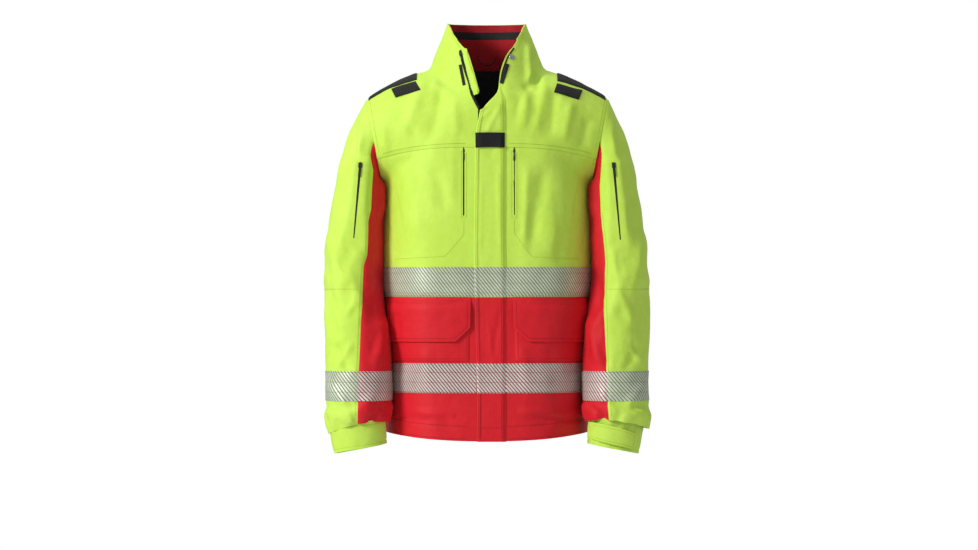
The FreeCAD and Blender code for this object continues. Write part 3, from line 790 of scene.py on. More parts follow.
lab = np.zeros(len(BF), int)
V, F = BV, BF
for fun, bit in ((f_hem, 1), (f_arm, 2), (f_vee, 4), (f_gap, 8), (f_roof, 16), (f_collar, 32), (f_yoke, 64), (f_waist, 128), (f_side, 256), (f_slit, 512)):
    V, F, side, lab = cut(V, F, fun, lab, 0.05 if bit in (8, 512) else 0.22)
    lab = lab + np.where(side > 0, bit, 0)
V, F, side, lab = cut(V, F, lambda P: P[:, 1] - 3.0, lab)
lab = lab + np.where(side > 0, 1024, 0)
lab = lab + np.where(V[F].mean(axis=1)[:, 0] < 0, 2048, 0)

# ---------------------------------------------------------------- folds
N0 = normals(V, F)


def seg_dist(x, z, a, b):
    ax, az = a
    bx, bz = b
    L2 = (bx - ax) ** 2 + (bz - az) ** 2
    t = np.clip(((x - ax) * (bx - ax) + (z - az) * (bz - az)) / L2, 0, 1)
    return np.hypot(x - (ax + t * (bx - ax)), z - (az + t * (bz - az))), t


# soft folds seen on the front: from, to (x, z), width, height
FOLDS = [
    ((-108, 2), (-150, -110), 11, 2.6), ((-80, -20), (-95, -118), 10, -2.0), ((-58, -22), (-52, -112), 12, 2.0),
    ((-100, -8), (-60, -40), 9, 2.2), ((-160, -60), (-118, -118), 9, -1.8), ((-186, -80), (-176, -140), 9, 2.2),
    ((72, 66), (76, -24), 6, 4.2), ((84, 52), (92, -30), 7, -3.6), ((72, -20), (58, -104), 12, 2.6), ((104, -6), (84, -112), 10, 2.4),
    ((122, -18), (112, -116), 9, -2.0), ((150, -40), (134, -120), 9, 2.2), ((60, -30), (44, -90), 8, -2.0),
    ((180, -70), (166, -135), 9, -2.0), ((92, 6), (64, -30), 7, -1.8),
    ((-150, -150), (-120, -300), 16, 1.8), ((-95, -150), (-70, -250), 13, -1.3), ((-176, -190), (-150, -330), 12, -2.2),
    ((150, -150), (112, -330), 15, 2.2), ((104, -150), (76, -320), 13, -2.0), ((70, -150), (64, -330), 9, 1.6),
    ((172, -190), (158, -340), 12, -2.0), ((128, -200), (128, -350), 12, -1.6),
    ((-170, -410), (-160, -540), 14, -1.8), ((-110, -480), (-104, -560), 12, 1.2), ((60, -470), (70, -560), 10, 1.2),
    ((160, -480), (150, -600), 14, -1.8), ((110, -470), (120, -560), 12, -1.0),
    ((-178, -590), (-60, -600), 5, 1.6), ((-170, -604), (-90, -610), 4, -1.2), ((44, -592), (170, -598), 5, 1.5), ((60, -606), (176, -606), 4, -1.2),
    ((-60, -598), (-34, -612), 4, -1.0), ((40, -588), (52, -622), 5, 1.4),
]


def folds(P, N):
    x, y, z = P.T
    d = 3.6 * noise(P / np.array([80, 95, 150.0]), 3)
    d += 2.8 * ridge(noise(P / np.array([46, 60, 120.0]), 5))
    d += 1.1 * ridge(noise(P / np.array([24, 30, 46.0]) + 7.0, 8)) + 0.3 * noise(P / 9.0, 9)
    front = smooth(0.15, -0.35, N[:, 1])
    f = np.zeros(len(P))
    for a, b, w, h in FOLDS:
        dd, t = seg_dist(x, z, a, b)
        f += (1.35 if max(a[1], b[1]) > -100 and a[0] < 60 else 1.7 if max(a[1], b[1]) > -100 else 2.5) * h * np.exp(-(dd / w) ** 2) * (smooth(-0.02, 0.25, t) * smooth(1.02, 0.7, t))
    d += f * front
    # draping on the back: two long folds under the yoke and gathers at the waist
    back = smooth(-0.1, 0.5, N[:, 1])
    for s in (-1, 1):
        dd, t = seg_dist(x, z, (s * 96, -158), (s * 74, -520))
        d += back * 3.4 * np.exp(-(dd / 15) ** 2) * smooth(0, 0.15, t) * smooth(1, 0.6, t)
        dd, t = seg_dist(x, z, (s * 140, -200), (s * 120, -460))
        d -= back * 2.6 * np.exp(-(dd / 13) ** 2) * smooth(0, 0.2, t) * smooth(1, 0.6, t)
    # hem: small rolls above the stitched band
    edge = f_hem(P)
    d += 0.9 * np.sin(x / 9.0 + 2.0 * noise(P / 40.0, 12)) * np.exp(-((edge - 30) / 13.0) ** 2)
    d -= 1.1 * np.exp(-((edge - 25.0) / 2.4) ** 2)
    # calm next to the closure and the pocket zips, and at the sides under the sleeves
    calm = np.where(y < 0, smooth(34, 66, np.abs(x - 5.5)), 1.0)
    calm = np.maximum(calm, 0.9 * smooth(-52, -30, z) * smooth(18, 34, np.abs(x - 3)))
    for cx in (-41.0, 48.0):
        near = smooth(4, 22, np.abs(x - cx)) + smooth(-270, -290, z) + smooth(-110, -90, z)
        calm = np.where(y < 0, calm * np.clip(near, 0.0, 1.0) + (1 - np.clip(near, 0, 1)) * 0.0, calm)
    d = d * calm
    w = smooth(0.45, 0.8, np.abs(N[:, 0])) * smooth(-150, -190, z)
    d = d * (1 - w) + np.clip(d, -0.8, 0.6) * w
    d = np.where(f_collar(P) > -14, d * lerp(0.85, 1.0, smooth(10, -14, f_collar(P))), d)
    return np.clip(d, -7.0, 7.5)


def groove(P):
    """Seam lines sink a little."""
    x, y, z = P.T
    g = np.zeros(len(P))
    for fun, w in ((f_yoke, 2.6), (f_waist, 2.6)):
        g += np.exp(-(fun(P) / w) ** 2)
    s = np.where((z < -172) & (z > -392), np.exp(-(f_side(P) / 2.8) ** 2), 0)
    c = np.where(z < -190, np.exp(-((y - 3.0) / 2.8) ** 2), 0)
    return 1.1 * np.clip(g + s + c, 0, 1)


DISP = folds(V, N0)
W = V + N0 * (DISP - groove(V))[:, None]
NW = normals(W, F)
SK = Surf(W, F)


def bits(*names):
    return np.logical_and.reduce([((lab & b) != 0) == want for b, want in names])


ON = bits((1, True), (2, True), (4, True), (8, True), (16, True), (512, True))
PANELS = {}


def panel(name, mask, mat, nodes, t=1.5, lift=None, trim=None):
    f = F[mask & ON]
    P = W
    if lift is not None:
        P = W + NW * lift(V)[:, None]
    v, f2, n2 = compact(P, f, NW)
    v2, f3, _ = thick(v, f2, t, None, n2)
    ob = mesh_obj(name, v2, f3, mat)
    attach(ob, "coat_body")
    if nodes:
        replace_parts(ob, *nodes)
    PANELS[name] = ob
    return ob


is_collar = bits((32, True))
is_yoke = bits((64, True), (32, False))
is_red = bits((128, False), (32, False))
is_front = bits((1024, False))
is_right = bits((2048, True))
is_mid = bits((64, False), (128, True), (32, False))
is_in = bits((256, True))


def yoke_lift(P):
    e = f_yoke(P)
    return np.where(P[:, 1] < 0, 1.3 * np.exp(-np.abs(e) / 9.0), 0.5 * np.exp(-np.abs(e) / 6.0))


for sd, rt in (("right", is_right), ("left", ~is_right)):
    panel("yoke_front_" + sd, is_yoke & is_front & rt, M_YEL, ["front_yoke_" + sd], 1.6, yoke_lift)
    panel("chest_" + sd, is_mid & is_front & rt & is_in, M_YEL, ["front_upper_" + sd])
    panel("skirt_front_" + sd, is_red & is_front & rt, M_RED, ["front_lower_" + sd])
    panel("side_" + sd, is_mid & rt & ~is_in, M_RED, ["side_panel_" + sd])
panel("yoke_back", is_yoke & ~is_front, M_YEL, ["back_yoke"], 1.6, yoke_lift)
panel("back", is_mid & ~is_front & is_in, M_YEL, ["back_upper"])
panel("skirt_back", is_red & ~is_front, M_RED, ["back_lower"])

# collar: a stiff double layer, shell and facings
cv, cf, cn = compact(W, F[is_collar & ON], NW)


def collar_piece(name, v, f, n, t0, t1, mat, nodes, shrink=0.0):
    a = v - n * t0
    v2, f3, _ = thick(a, f, t1 - t0, None, n)
    ob = mesh_obj(name, v2, f3, mat)
    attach(ob, "coat_body")
    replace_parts(ob, *nodes) if nodes else None
    return ob


rim = np.zeros(len(cv), bool)
rim[np.unique(rim_edges(cf))] = True
top_d = f_roof(cv)
collar_piece("collar_shell", cv, cf, cn, 0.0, 2.4, M_YEL, ["collar_outer"])
v4, f4, s4, l4 = cut(cv - cn * 2.6, cf, lambda P: roof(P[:, 1]) - P[:, 2] - 13.0, np.zeros(len(cf), int))
l4 = l4 + np.where(s4 > 0, 1, 0)
v4, f4, s4, l4 = cut(v4, f4, lambda P: roof(P[:, 1]) - P[:, 2] - 26.0, l4)
l4 = l4 + np.where(s4 > 0, 2, 0)
n4 = normals(v4, f4)
for nm, want, mt, sl, nd in (("collar_facing_band", (1,), M_BLK_IN, "lining_black", []), ("collar_facing", (0, 3), M_RED_IN, "red", ["collar_lining"])):
    q = f4[np.isin(l4, want)]
    if len(q):
        a, b, c = compact(v4, q, n4)
        a2, b2, _ = thick(a, b, 1.2 if nd else 1.8, None, c)
        ob = mesh_obj(nm, a2, b2, mt)
        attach(ob, "coat_body")
        if nd:
            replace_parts(ob, *nd)

# lining: the same skin, set in
lm = bits((1, True), (2, True), (4, True), (8, True), (32, False))
lv, lf, ln = compact(W - NW * 4.5, F[lm], NW)
v5, f5, s5, _ = cut(lv, lf, lambda P: P[:, 2] + 628.0)
a, b, c = compact(v5, f5[s5 > 0], normals(v5, f5))
a2, b2, _ = thick(a, b, 0.8, None, c)
ob = mesh_obj("lining_sheet", a2, b2, M_BLK_IN)
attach(ob, "coat_body")
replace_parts(ob, "body_lining", "chest_pocket_bags")


# ---------------------------------------------------------------- sleeves
ROWS = {  # inner x, z, outer x, z, half depth, middle y
    "left": [(183.5, -200, 246, -106, 80, -4), (182.5, -224, 266, -198, 80, -13), (185, -300, 281.5, -296, 74, -33), (184.5, -385, 288.5, -392, 68, -50),
             (173, -470, 287, -470, 64.5, -66), (170, -550, 285, -548, 63, -77), (172, -596, 287.5, -602, 63, -82), (176, -611, 284, -625, 59, -83)],
    "right": [(183.5, -200, 248, -106, 80, -4), (182.5, -224, 269, -198, 80, -13), (185, -300, 286, -296, 74, -33), (184.5, -385, 289.5, -392, 68, -50),
              (172, -470, 286, -470, 64.5, -66), (169.5, -550, 284, -548, 63, -77), (171, -598, 284, -608, 63, -82), (174, -613, 279, -634, 58, -83)]}
SEAM = {"right": np.array([(-112, 200), (-139, 207), (-168, 201), (-194, 203), (-238, 205), (-259, 210), (-319, 212), (-337, 218), (-395, 221), (-477, 224), (-522, 226), (-614, 228), (-640, 229)], float),
        "left": np.array([(-112, 200), (-139, 203), (-194, 199), (-249, 201), (-291, 206), (-333, 209), (-390, 207), (-517, 210), (-573, 213), (-602, 215), (-640, 216)], float)}
NT, NA = (110, 176)
SLEEVE = {}


def sleeve_shape(side):
    sg = -1.0 if side == "right" else 1.0
    th = np.linspace(0, 2 * np.pi, NA, endpoint=False)
    rows = []
    C0 = np.array([sg * 200.0, 0.0, -115.0])
    lean = math.radians(10.4)
    up = np.array([sg * math.sin(lean), 0, math.cos(lean)])
    for off, inset in ((-7.0, 5.0), (-1.0, 1.8), (3.5, 0.1)):
        c = C0 + np.array([sg * math.cos(lean), 0, -math.sin(lean)]) * off
        pts = []
        for t in th:
            d = up * math.cos(t) + np.array([0, -1.0, 0]) * math.sin(t)
            loc, n = SK.hit(c, d, 300)
            r = 74.0 if loc is None else np.linalg.norm(loc - c)
            pts.append(min(r, 96.0) - inset)
        r = np.array(pts)
        for _ in range(6):
            r = (np.roll(r, 1) + 2 * r + np.roll(r, -1)) / 4
        rows.append(c + (up[None] * np.cos(th)[:, None] + np.array([[0, -1.0, 0]]) * np.sin(th)[:, None]) * r[:, None])
    keys = []
    for xi, zi, xo, zo, d, cy in ROWS[side]:
        a = np.array([sg * xi, cy, zi], float)
        b = np.array([sg * xo, cy, zo], float)
        c = (a + b) / 2
        A = (b - a) / 2
        e = 2.15
        ct, st = np.cos(th), np.sin(th)
        ct = np.sign(ct) * np.abs(ct) ** (2 / e)
        st = np.sign(st) * np.abs(st) ** (2 / e)
        key = c + A[None] * ct[:, None] - np.array([[0, d, 0]]) * st[:, None]
        # the open end rises across the front and drops at its outer corner
        key[:, 2] += np.interp(-(zi + zo) / 2, [560, 598, 618], [0, 5.0, 9.0]) * np.maximum(st, 0) ** 2
        keys.append(key)
    head = np.array([rows[2]] + keys)
    n = len(head)
    # one smooth curve down the arm for each angle
    curve = cat(head.reshape(n, -1), 24).reshape(-1, NA, 3)
    mid = curve.mean(axis=1)
    s = np.concatenate([[0], np.cumsum(np.linalg.norm(np.diff(mid, axis=0), axis=1))])
    t = np.linspace(0, s[-1], NT - 2)
    G = np.stack([np.stack([np.interp(t, s, curve[:, j, k]) for k in range(3)], axis=1) for j in range(NA)], axis=1)
    G = np.concatenate([rows[0][None], rows[1][None], G])
    return G, th, sg


def sleeve_folds(P, N, side, sg):
    x, y, z = P.T
    q = P * np.array([sg, 1, 1])
    d = 3.6 * noise(q / np.array([60, 60, 120.0]) + (3 if side == "left" else 11), 21)
    d += 3.6 * ridge(noise(q / np.array([36, 46, 74.0]) + (5 if side == "left" else 1), 23))
    d += 1.5 * ridge(noise(q / np.array([18, 24, 34.0]), 25)) + 0.25 * noise(q / 8.0, 27)
    ax = np.abs(x)
    fr = smooth(0.2, -0.3, N[:, 1])
    more = [((238, -70), (252, -150), 6, 1.2), ((222, -90), (236, -140), 6, -1.2), ((258, -200), (262, -290), 7, -1.3), ((246, -200), (236, -300), 7, 1.1),
            ((272, -300), (276, -380), 7, 1.2), ((220, -300), (232, -372), 7, 1.2), ((234, -384), (262, -450), 8, 1.3), ((210, -384), (190, -460), 7, 1.2),
            ((200, -470), (214, -520), 6, -1.1), ((252, -480), (278, -516), 6, 1.3)] if side == "left" else [
            ((228, -80), (250, -190), 8, -1.0), ((240, -220), (262, -330), 8, 1.2), ((272, -330), (246, -372), 6, 1.4), ((222, -384), (252, -430), 6, 1.2),
            ((280, -400), (254, -460), 8, 1.2), ((190, -350), (206, -400), 6, 1.4), ((186, -440), (206, -500), 7, -1.2), ((236, -470), (266, -520), 6, 1.2)]
    lines = more + [((214, -50), (232, -150), 9, 2.0), ((228, -60), (244, -170), 8, -1.8), ((250, -130), (272, -270), 10, 2.0),
             ((206, -150), (215, -270), 7, -1.6), ((262, -180), (238, -330), 9, -1.6), ((280, -270), (250, -400), 11, 2.0),
             ((250, -330), (214, -440), 11, 1.9), ((286, -360), (262, -470), 11, -2.0), ((186, -330), (204, -430), 9, -2.4),
             ((182, -420), (198, -520), 9, 2.2), ((270, -470), (240, -530), 9, -1.6), ((282, -540), (240, -590), 8, 2.0),
             ((196, -560), (232, -600), 8, 1.8), ((284, -590), (230, -612), 6, 2.6), ((180, -580), (214, -618), 6, -2.2)]
    for a, b, w, h in lines:
        dd, t = seg_dist(ax, z, a, b)
        d += 2.9 * h * np.exp(-(dd / w) ** 2) * smooth(-0.02, 0.25, t) * smooth(1.02, 0.7, t) * fr
    # elbow creases, strongest behind
    bk = smooth(-0.3, 0.6, N[:, 1])
    for zc, w, h in ((-300, 9, 3.2), (-330, 8, -2.4), (-356, 9, 2.8), (-268, 9, -2.0)):
        d += (0.3 + bk) * h * 0.7 * np.exp(-((z - zc + 0.16 * (ax - 235)) / w) ** 2)
    # the cloth is gathered above the cuff
    g = np.exp(-((z + 608 + 0.16 * (ax - 229)) / 17.0) ** 2)
    d += g * (1.6 * np.sin(np.arctan2(y + 82, (ax - 229)) * 13 + 3 * noise(q / 30.0, 31)) + 1.4)
    d += 2.4 * np.exp(-((z + 594 + 0.14 * (ax - 229)) / 8.0) ** 2) - 1.6 * np.exp(-((z + 580 + 0.10 * (ax - 229)) / 6.0) ** 2)
    return np.clip(d, -7, 7.5)


def chain_line(side):
    """Top and bottom of the sleeve pocket's zip, from the frame."""
    lo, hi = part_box("sleeve_zip_chain_" + side)
    return np.array(lo) / MM, np.array(hi) / MM


for side in ("right", "left"):
    G, th, sg = sleeve_shape(side)
    P = G.reshape(-1, 3)
    Q = grid_faces(NT, NA)
    # close the tube
    i = np.arange(NT - 1)
    close = np.stack([i * NA + NA - 1, (i + 1) * NA + NA - 1, (i + 1) * NA, i * NA], axis=1)
    Q = np.vstack([Q, close])
    if sg > 0:
        Q = Q[:, ::-1]
    N = normals(P, Q)
    mid = np.repeat(G.mean(axis=1), NA, axis=0)
    if ((P - mid) * N).sum() < 0:
        Q = Q[:, ::-1]
        N = -N
    start = smooth(2.0, 9.0, np.repeat(np.arange(NT), NA).astype(float))
    d = sleeve_folds(P, N, side, sg) * start
    # flat where the pocket zip lies: the cloth keeps to the zip's own plane
    top = np.array([sg * 224.0, -90.0, -152.0])
    run = np.array([sg * 12.0, -14.0, -140.0])
    L = np.linalg.norm(run)
    run /= L
    rel = P - top
    along = rel @ run
    across = (rel - along[:, None] * run)[:, 0]
    wz = smooth(-16, 2, along) * smooth(L + 22, L + 2, along) * smooth(30, 7, np.abs(across)) * (P[:, 1] < -30)
    d = d * (1 - wz)
    P2 = P + N * d[:, None]
    line_y = top[1] + np.clip(along, -10, L + 10) * run[1]
    P2[:, 1] = P2[:, 1] * (1 - wz) + (line_y - 0.4 + 0.03 * np.abs(across)) * wz
    T = np.vstack([Q[:, [0, 1, 2]], Q[:, [0, 2, 3]]])

    def f_split(A, side=side, sg=sg):
        """Positive on the outer, yellow part."""
        s = SEAM[side]
        xs = np.interp(-A[:, 2], -s[:, 0], s[:, 1])
        behind = 205.0 + 0.055 * (-118.0 - A[:, 2])
        w = smooth(-60, 20, A[:, 1] - np.interp(-A[:, 2], [100, 400, 640], [0, -50, -84]))
        lim = xs * (1 - w) + behind * w
        head_ = -118.0 - A[:, 2]
        return np.where(A[:, 2] > -112, 30.0, sg * A[:, 0] - lim)

    def f_split2(A, f=f_split):
        return np.maximum(f(A), A[:, 2] + 116.0)

    def f_zip(A, top=top, run=run, L=L):
        rel = A - top
        al = rel @ run
        ac = (rel - al[:, None] * run)[:, 0]
        taper = 2.4 - 1.3 * np.clip(al / L, 0, 1)
        inside = np.minimum(np.minimum(taper - np.abs(ac), al), L - al)
        return -np.minimum(inside, -30.0 - A[:, 1])

    base_n = len(P)
    V1, T1, s1, l1 = cut(P, T, f_split2, np.zeros(len(T), int))
    l1 = l1 + np.where(s1 > 0, 1, 0)
    V1, T1, s2, l1 = cut(V1, T1, f_zip, l1, snap=0.05)
    l1 = l1 + np.where(s2 > 0, 2, 0)
    # move the cut skin with the folds: the folds are worked out again for every point
    Nn = normals(V1, T1)
    dd = sleeve_folds(V1, Nn, side, sg)
    from_mid = Nn
    # weights again, for every point
    rel = V1 - top
    along = rel @ run
    across = (rel - along[:, None] * run)[:, 0]
    wz = smooth(-16, 2, along) * smooth(L + 22, L + 2, along) * smooth(30, 7, np.abs(across)) * (V1[:, 1] < -30)
    c0 = np.array([sg * 200.0, 0.0, -115.0])
    out = ((V1 - c0) @ np.array([sg * math.cos(math.radians(10.4)), 0, -math.sin(math.radians(10.4))]))
    st = smooth(3.0, 30.0, out)
    st = np.maximum(st, smooth(-205, -250, V1[:, 2]))
    dd = dd * st * (1 - wz)
    gr = 1.0 * np.exp(-(f_split2(V1) / 2.6) ** 2)
    W1 = V1 + Nn * (dd - gr)[:, None]
    line_y = top[1] + np.clip(along, -10, L + 10) * run[1]
    W1[:, 1] = W1[:, 1] * (1 - wz) + (line_y - 0.4 + 0.03 * np.abs(across)) * wz
    # the inner side of the sleeve stays against the trunk just under the armpit
    ax = np.abs(W1[:, 0])
    wi = smooth(-172, -198, W1[:, 2]) * smooth(-262, -226, W1[:, 2]) * smooth(0.3, 0.7, -Nn[:, 0] * sg) * smooth(196, 187, ax)
    W1[:, 0] = sg * (ax - wi * np.maximum(0, ax - 180.5))
    NN = normals(W1, T1)
    SLEEVE[side] = dict(V=W1, F=T1, N=NN, lab=l1, surf=Surf(W1, T1), G=G, sg=sg, split=f_split2, raw=V1, top=top, run=run, L=L)


def bend(ob):
    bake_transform(ob)


for side in ("right", "left"):
    S = SLEEVE[side]
    for nm, want, mat, slot, nodes in (("sleeve_outer_cloth_" + side, 3, M_YEL, "hivis_yellow", ["sleeve_outer_" + side]), ("sleeve_inner_cloth_" + side, 2, M_RED, "red", ["sleeve_inner_" + side])):
        f = S["F"][S["lab"] == want]
        v, f2, n2 = compact(S["V"], f, S["N"])
        v2, f3, _ = thick(v, f2, 1.4, None, n2)
        ob = mesh_obj(nm, v2, f3, mat)
        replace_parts(ob, *nodes)
        bend(ob)
    # lining tube inside the sleeve
    f = S["F"]
    v, f2, n2 = compact(S["V"] - S["N"] * 4.0, f, S["N"])
    v2, f3, _ = thick(v, f2, 0.8, None, n2)
    ob = mesh_obj("sleeve_lining_" + side, v2, f3, M_BLK_IN)
    bend(ob)


# seams of the sleeves
for side in ("right", "left"):
    S = SLEEVE[side]
    sg = S["sg"]
    # round the elbow, on the yellow side, and beside the colour seam
    P, N = [], []
    for t in np.linspace(-1.9, 1.9, 130):
        o = np.array([sg * 232.0, -46.0, -378.0])
        d = np.array([sg * math.cos(t), -math.sin(t), 0.0])
        loc, n = S["surf"].hit(o + d * 300, -d, 600)
        if loc is not None and S["split"](loc[None])[0] > 3:
            P.append(loc)
            N.append(n)
    if len(P) > 8:
        S["elbow"] = (np.array(P), unit(np.array(N)))
    zz = np.linspace(-150, -606, 190)
    sm = SEAM[side]
    xs = np.interp(-zz, -sm[:, 0], sm[:, 1])
    S["seam_y"] = S["surf"].front(np.stack([sg * (xs + 4.0), zz], axis=1))


# ---------------------------------------------------------------- pieces laid on the cloth
def put_piece(name, V, Fs, mat, body, nodes=(), uv=None, blend=None, mat_index=None):
    ob = mesh_obj(name, V, Fs, mat, uv=uv, mat_index=mat_index)
    if nodes:
        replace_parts(ob, *nodes)
    if blend:
        blend(ob)
    else:
        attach(ob, body)
    return ob


def laid(P, N, nu, nv, off, t, uv=None, wrap=False, soften=2):
    """A grid laid off mm above its surface and t thick: V, faces, uv."""
    N = unit(smooth_grid(N, nu, nv, soften + 2, wrap))
    P = smooth_grid(P, nu, nv, soften, wrap)
    V = P + N * np.asarray(off).reshape(-1, 1) if np.ndim(off) else P + N * off
    Q = grid_faces(nu, nv, wrap)
    fn = face_normals(V, Q)
    if (fn * N[Q[:, 0]]).sum() < 0:
        Q = Q[:, ::-1]
    return thick(V, Q, t, uv, N)


STITCH = {"y": [], "r": [], "k": []}
RIDERS = {}


def sew(key, body, P, N, pitch=4.1, length=2.7, width=0.8, height=0.5, blend=None):
    c = capsules(P, N, length, pitch, width, 0.2, height)
    if c is None:
        return
    RIDERS.setdefault((key, body), []).append(c)


def sew_front(key, body, pts, surf=None, lift=0.1, step=3.0, **kw):
    pts = resample(np.array(pts, float), step)
    P, N = (surf or SK).front(pts)
    N = unit(N)
    sew(key, body, P + N * lift, N, **kw)


# ring round the trunk by distance along the cloth
def ring_map(z):
    ph = np.linspace(-np.pi / 2, 1.5 * np.pi, 361)
    P = []
    for a in ph:
        loc, n = SK.hit((600 * math.cos(a), 600 * math.sin(a), z), (-math.cos(a), -math.sin(a), 0))
        P.append(loc[:2] if loc is not None else (150 * math.cos(a), 120 * math.sin(a)))
    P = np.array(P)
    s = np.concatenate([[0], np.cumsum(np.linalg.norm(np.diff(P, axis=0), axis=1))])
    return ph, s


PH, ARC = ring_map(-430)
HALF = ARC[-1] / 2
FULL = ARC[-1]


def phi_of(a):
    """Angle of the place a mm round from the front's middle, positive towards +x."""
    return np.interp(np.mod(a, FULL), ARC, PH)


def radial(A, Z):
    P, N = [], []
    for a, z in zip(A, Z):
        p = float(phi_of(a))
        loc, n = SK.hit((600 * math.cos(p), 600 * math.sin(p), z), (-math.cos(p), -math.sin(p), 0))
        if loc is None:
            loc, n = SK.near((180 * math.cos(p), 150 * math.sin(p), z))
        P.append(loc)
        N.append(n)
    return np.array(P), np.array(N)


def band(name, z0, z1, a0, a1, off, t, mat, nodes, nv=12, body="coat_body"):
    nu = int((a1 - a0) / 4.0)
    A = np.linspace(a0, a1, nu)
    Zr = np.linspace(z0, z1, nv)
    AA, ZZ = np.meshgrid(A, Zr, indexing="ij")
    P, N = radial(AA.ravel(), ZZ.ravel())
    uv = np.stack([AA.ravel(), ZZ.ravel()], axis=1)
    e = np.minimum(ZZ - z0, z1 - ZZ).ravel()
    o = off + 0.25 * smooth(0, 3, e)
    V, Fc, u2 = laid(P, N, nu, nv, o, t, uv)
    ob = put_piece(name, V, Fc, mat, body, nodes, uv=u2)
    for zz in (z0 + 2.2, z1 - 2.2):
        A2 = np.linspace(a0 + 2, a1 - 2, int((a1 - a0) / 4))
        P2, N2 = radial(A2, np.full(len(A2), zz))
        sew("k2", body, P2 + N2 * (off + 0.3), N2, pitch=4.4, length=2.6, width=0.6, height=0.35)
    return ob


band("band_chest", -391, -339, 30, FULL - 18, 1.0, 1.3, M_TAPE_Y, ["chest_tape"])
band("band_hem", -561, -509, 30, FULL - 18, 1.0, 1.3, M_TAPE_R, ["hem_tape"])


# storm flap
def flap_left(z):
    low = np.interp(z, [-648, -565, -309, -124, -99, -76, -66, -60], [-18, -17.5, -23.5, -21, -19.4, -15.0, -13.2, -12])
    return np.where(z < -60, low, np.maximum(np.interp(z, [-60, -57], [-12, -8]), xr(z) + 0.2))


def flap_right(z):
    return np.interp(z, [-648, -392, -100, -46, -14], [34, 33.5, 33, 32, 28.5])


def flap_y(x, z, lift=0.0):
    """Outer face of the flap."""
    base = plane_y(z) - 6.0
    t = smooth(-108, -62, z)
    P, N = SK.front(np.stack([np.maximum(x, np.where(z > -60, xr(z) + 2.0, 22.0)), z], axis=1))
    up = P[:, 1] - 0.4 - 4.0 * smooth(-14, -46, z)
    y = base * (1 - t) + np.minimum(up, base + 30) * t
    seam = smooth(flap_right(z) - 7.0, flap_right(z), x)
    y = y + 3.2 * seam
    q = np.stack([x, z, 0 * x], axis=1)
    y = y - 0.9 * noise(q / np.array([26, 60, 1.0]), 41) - 0.5 * ridge(noise(q / np.array([14, 30, 1.0]), 42))
    y += 1.0 * np.exp(-((x - flap_left(z)) / 1.2) ** 2)
    y -= 0.9 * np.exp(-((x - flap_left(z) - 4.0) / 2.2) ** 2) * smooth(-60, -90, z)
    y += 0.5 * np.exp(-((x - flap_left(z) - 7.6) / 1.4) ** 2) * smooth(-60, -90, z)
    for a, b, w, h in (((26, -50), (-6, -110), 5, 1.6), ((30, -90), (2, -150), 6, -1.0), ((-16, -80), (10, -60), 4, 1.3), ((20, -150), (24, -330), 5, 1.2), ((-10, -180), (-14, -330), 5, 0.8),
                       ((26, -400), (6, -520), 5, -1.2), ((2, -430), (14, -540), 4, 1.0), ((-12, -440), (-10, -600), 4, 0.7)):
        dd, tt = seg_dist(x, z, a, b)
        y -= h * np.exp(-(dd / w) ** 2) * smooth(-0.02, 0.25, tt) * smooth(1.02, 0.7, tt)
    return y - lift


def flap_piece(name, z0, z1, mat, nodes, lift=0.0, t=1.9, x_in=0.0, nu=22):
    nz = max(6, int((z1 - z0) / 3.2))
    Z = np.linspace(z0, z1, nz)
    S = np.linspace(0, 1, nu)
    SS, ZZ = np.meshgrid(S, Z, indexing="ij")
    SS, ZZ = SS.ravel(), ZZ.ravel()
    X = lerp(flap_left(ZZ) - x_in, flap_right(ZZ) + x_in, SS)
    Y = flap_y(X, ZZ, lift)
    P = np.stack([X, Y, ZZ], axis=1)
    Q = grid_faces(nu, nz)
    N = normals(P, Q)
    if N[:, 1].mean() > 0:
        Q = Q[:, ::-1]
        N = -N
    uv = np.stack([X, ZZ], axis=1)
    V, Fc, u2 = thick(P, Q, t, uv, N)
    return put_piece(name, V, Fc, mat, "storm_flap", nodes, uv=u2)


flap_piece("flap_yellow", -392, -13, M_YEL, ["storm_flap_upper"])
flap_piece("flap_red", -646.5, -392.2, M_RED, ["storm_flap_lower"])
flap_piece("flap_band_chest", -391, -339, M_TAPE_Y, ["storm_flap_chest_tape"], 0.6, 0.9, 0.15)
flap_piece("flap_band_hem", -561, -509, M_TAPE_R, ["storm_flap_hem_tape"], 0.6, 0.9, 0.15)


# hook strips on the flap's inner side
nz = 170
Z = np.linspace(-620, -84, nz)
hp = []
for x0, x1 in ((1.5, 4.0), (29.0, 43.0)):
    SS, ZZ = np.meshgrid(np.linspace(0, 1, 6), Z, indexing="ij")
    SS, ZZ = SS.ravel(), ZZ.ravel()
    X = lerp(flap_left(ZZ) + x0, flap_left(ZZ) + x1, SS)
    P = np.stack([X, flap_y(X, ZZ) + 2.7, ZZ], axis=1)
    Q = grid_faces(6, nz)
    N = normals(P, Q)
    if N[:, 1].mean() < 0:
        Q, N = Q[:, ::-1], -N
    v, f, _ = thick(P, Q, 0.9, None, N)
    hp.append((v, f[0]))
V, Fc = join(hp)
put_piece("flap_hook_strips", V, Fc, M_HOOK, "storm_flap", ["storm_flap_hook_strips"])


def sew_flap(key, pts, lift=0.1):
    pts = resample(np.array(pts, float), 3.0)
    Y = flap_y(pts[:, 0], pts[:, 1], lift)
    P = np.stack([pts[:, 0], Y, pts[:, 1]], axis=1)
    sew(key, "storm_flap", P, np.tile([0, -1.0, 0], (len(P), 1)))


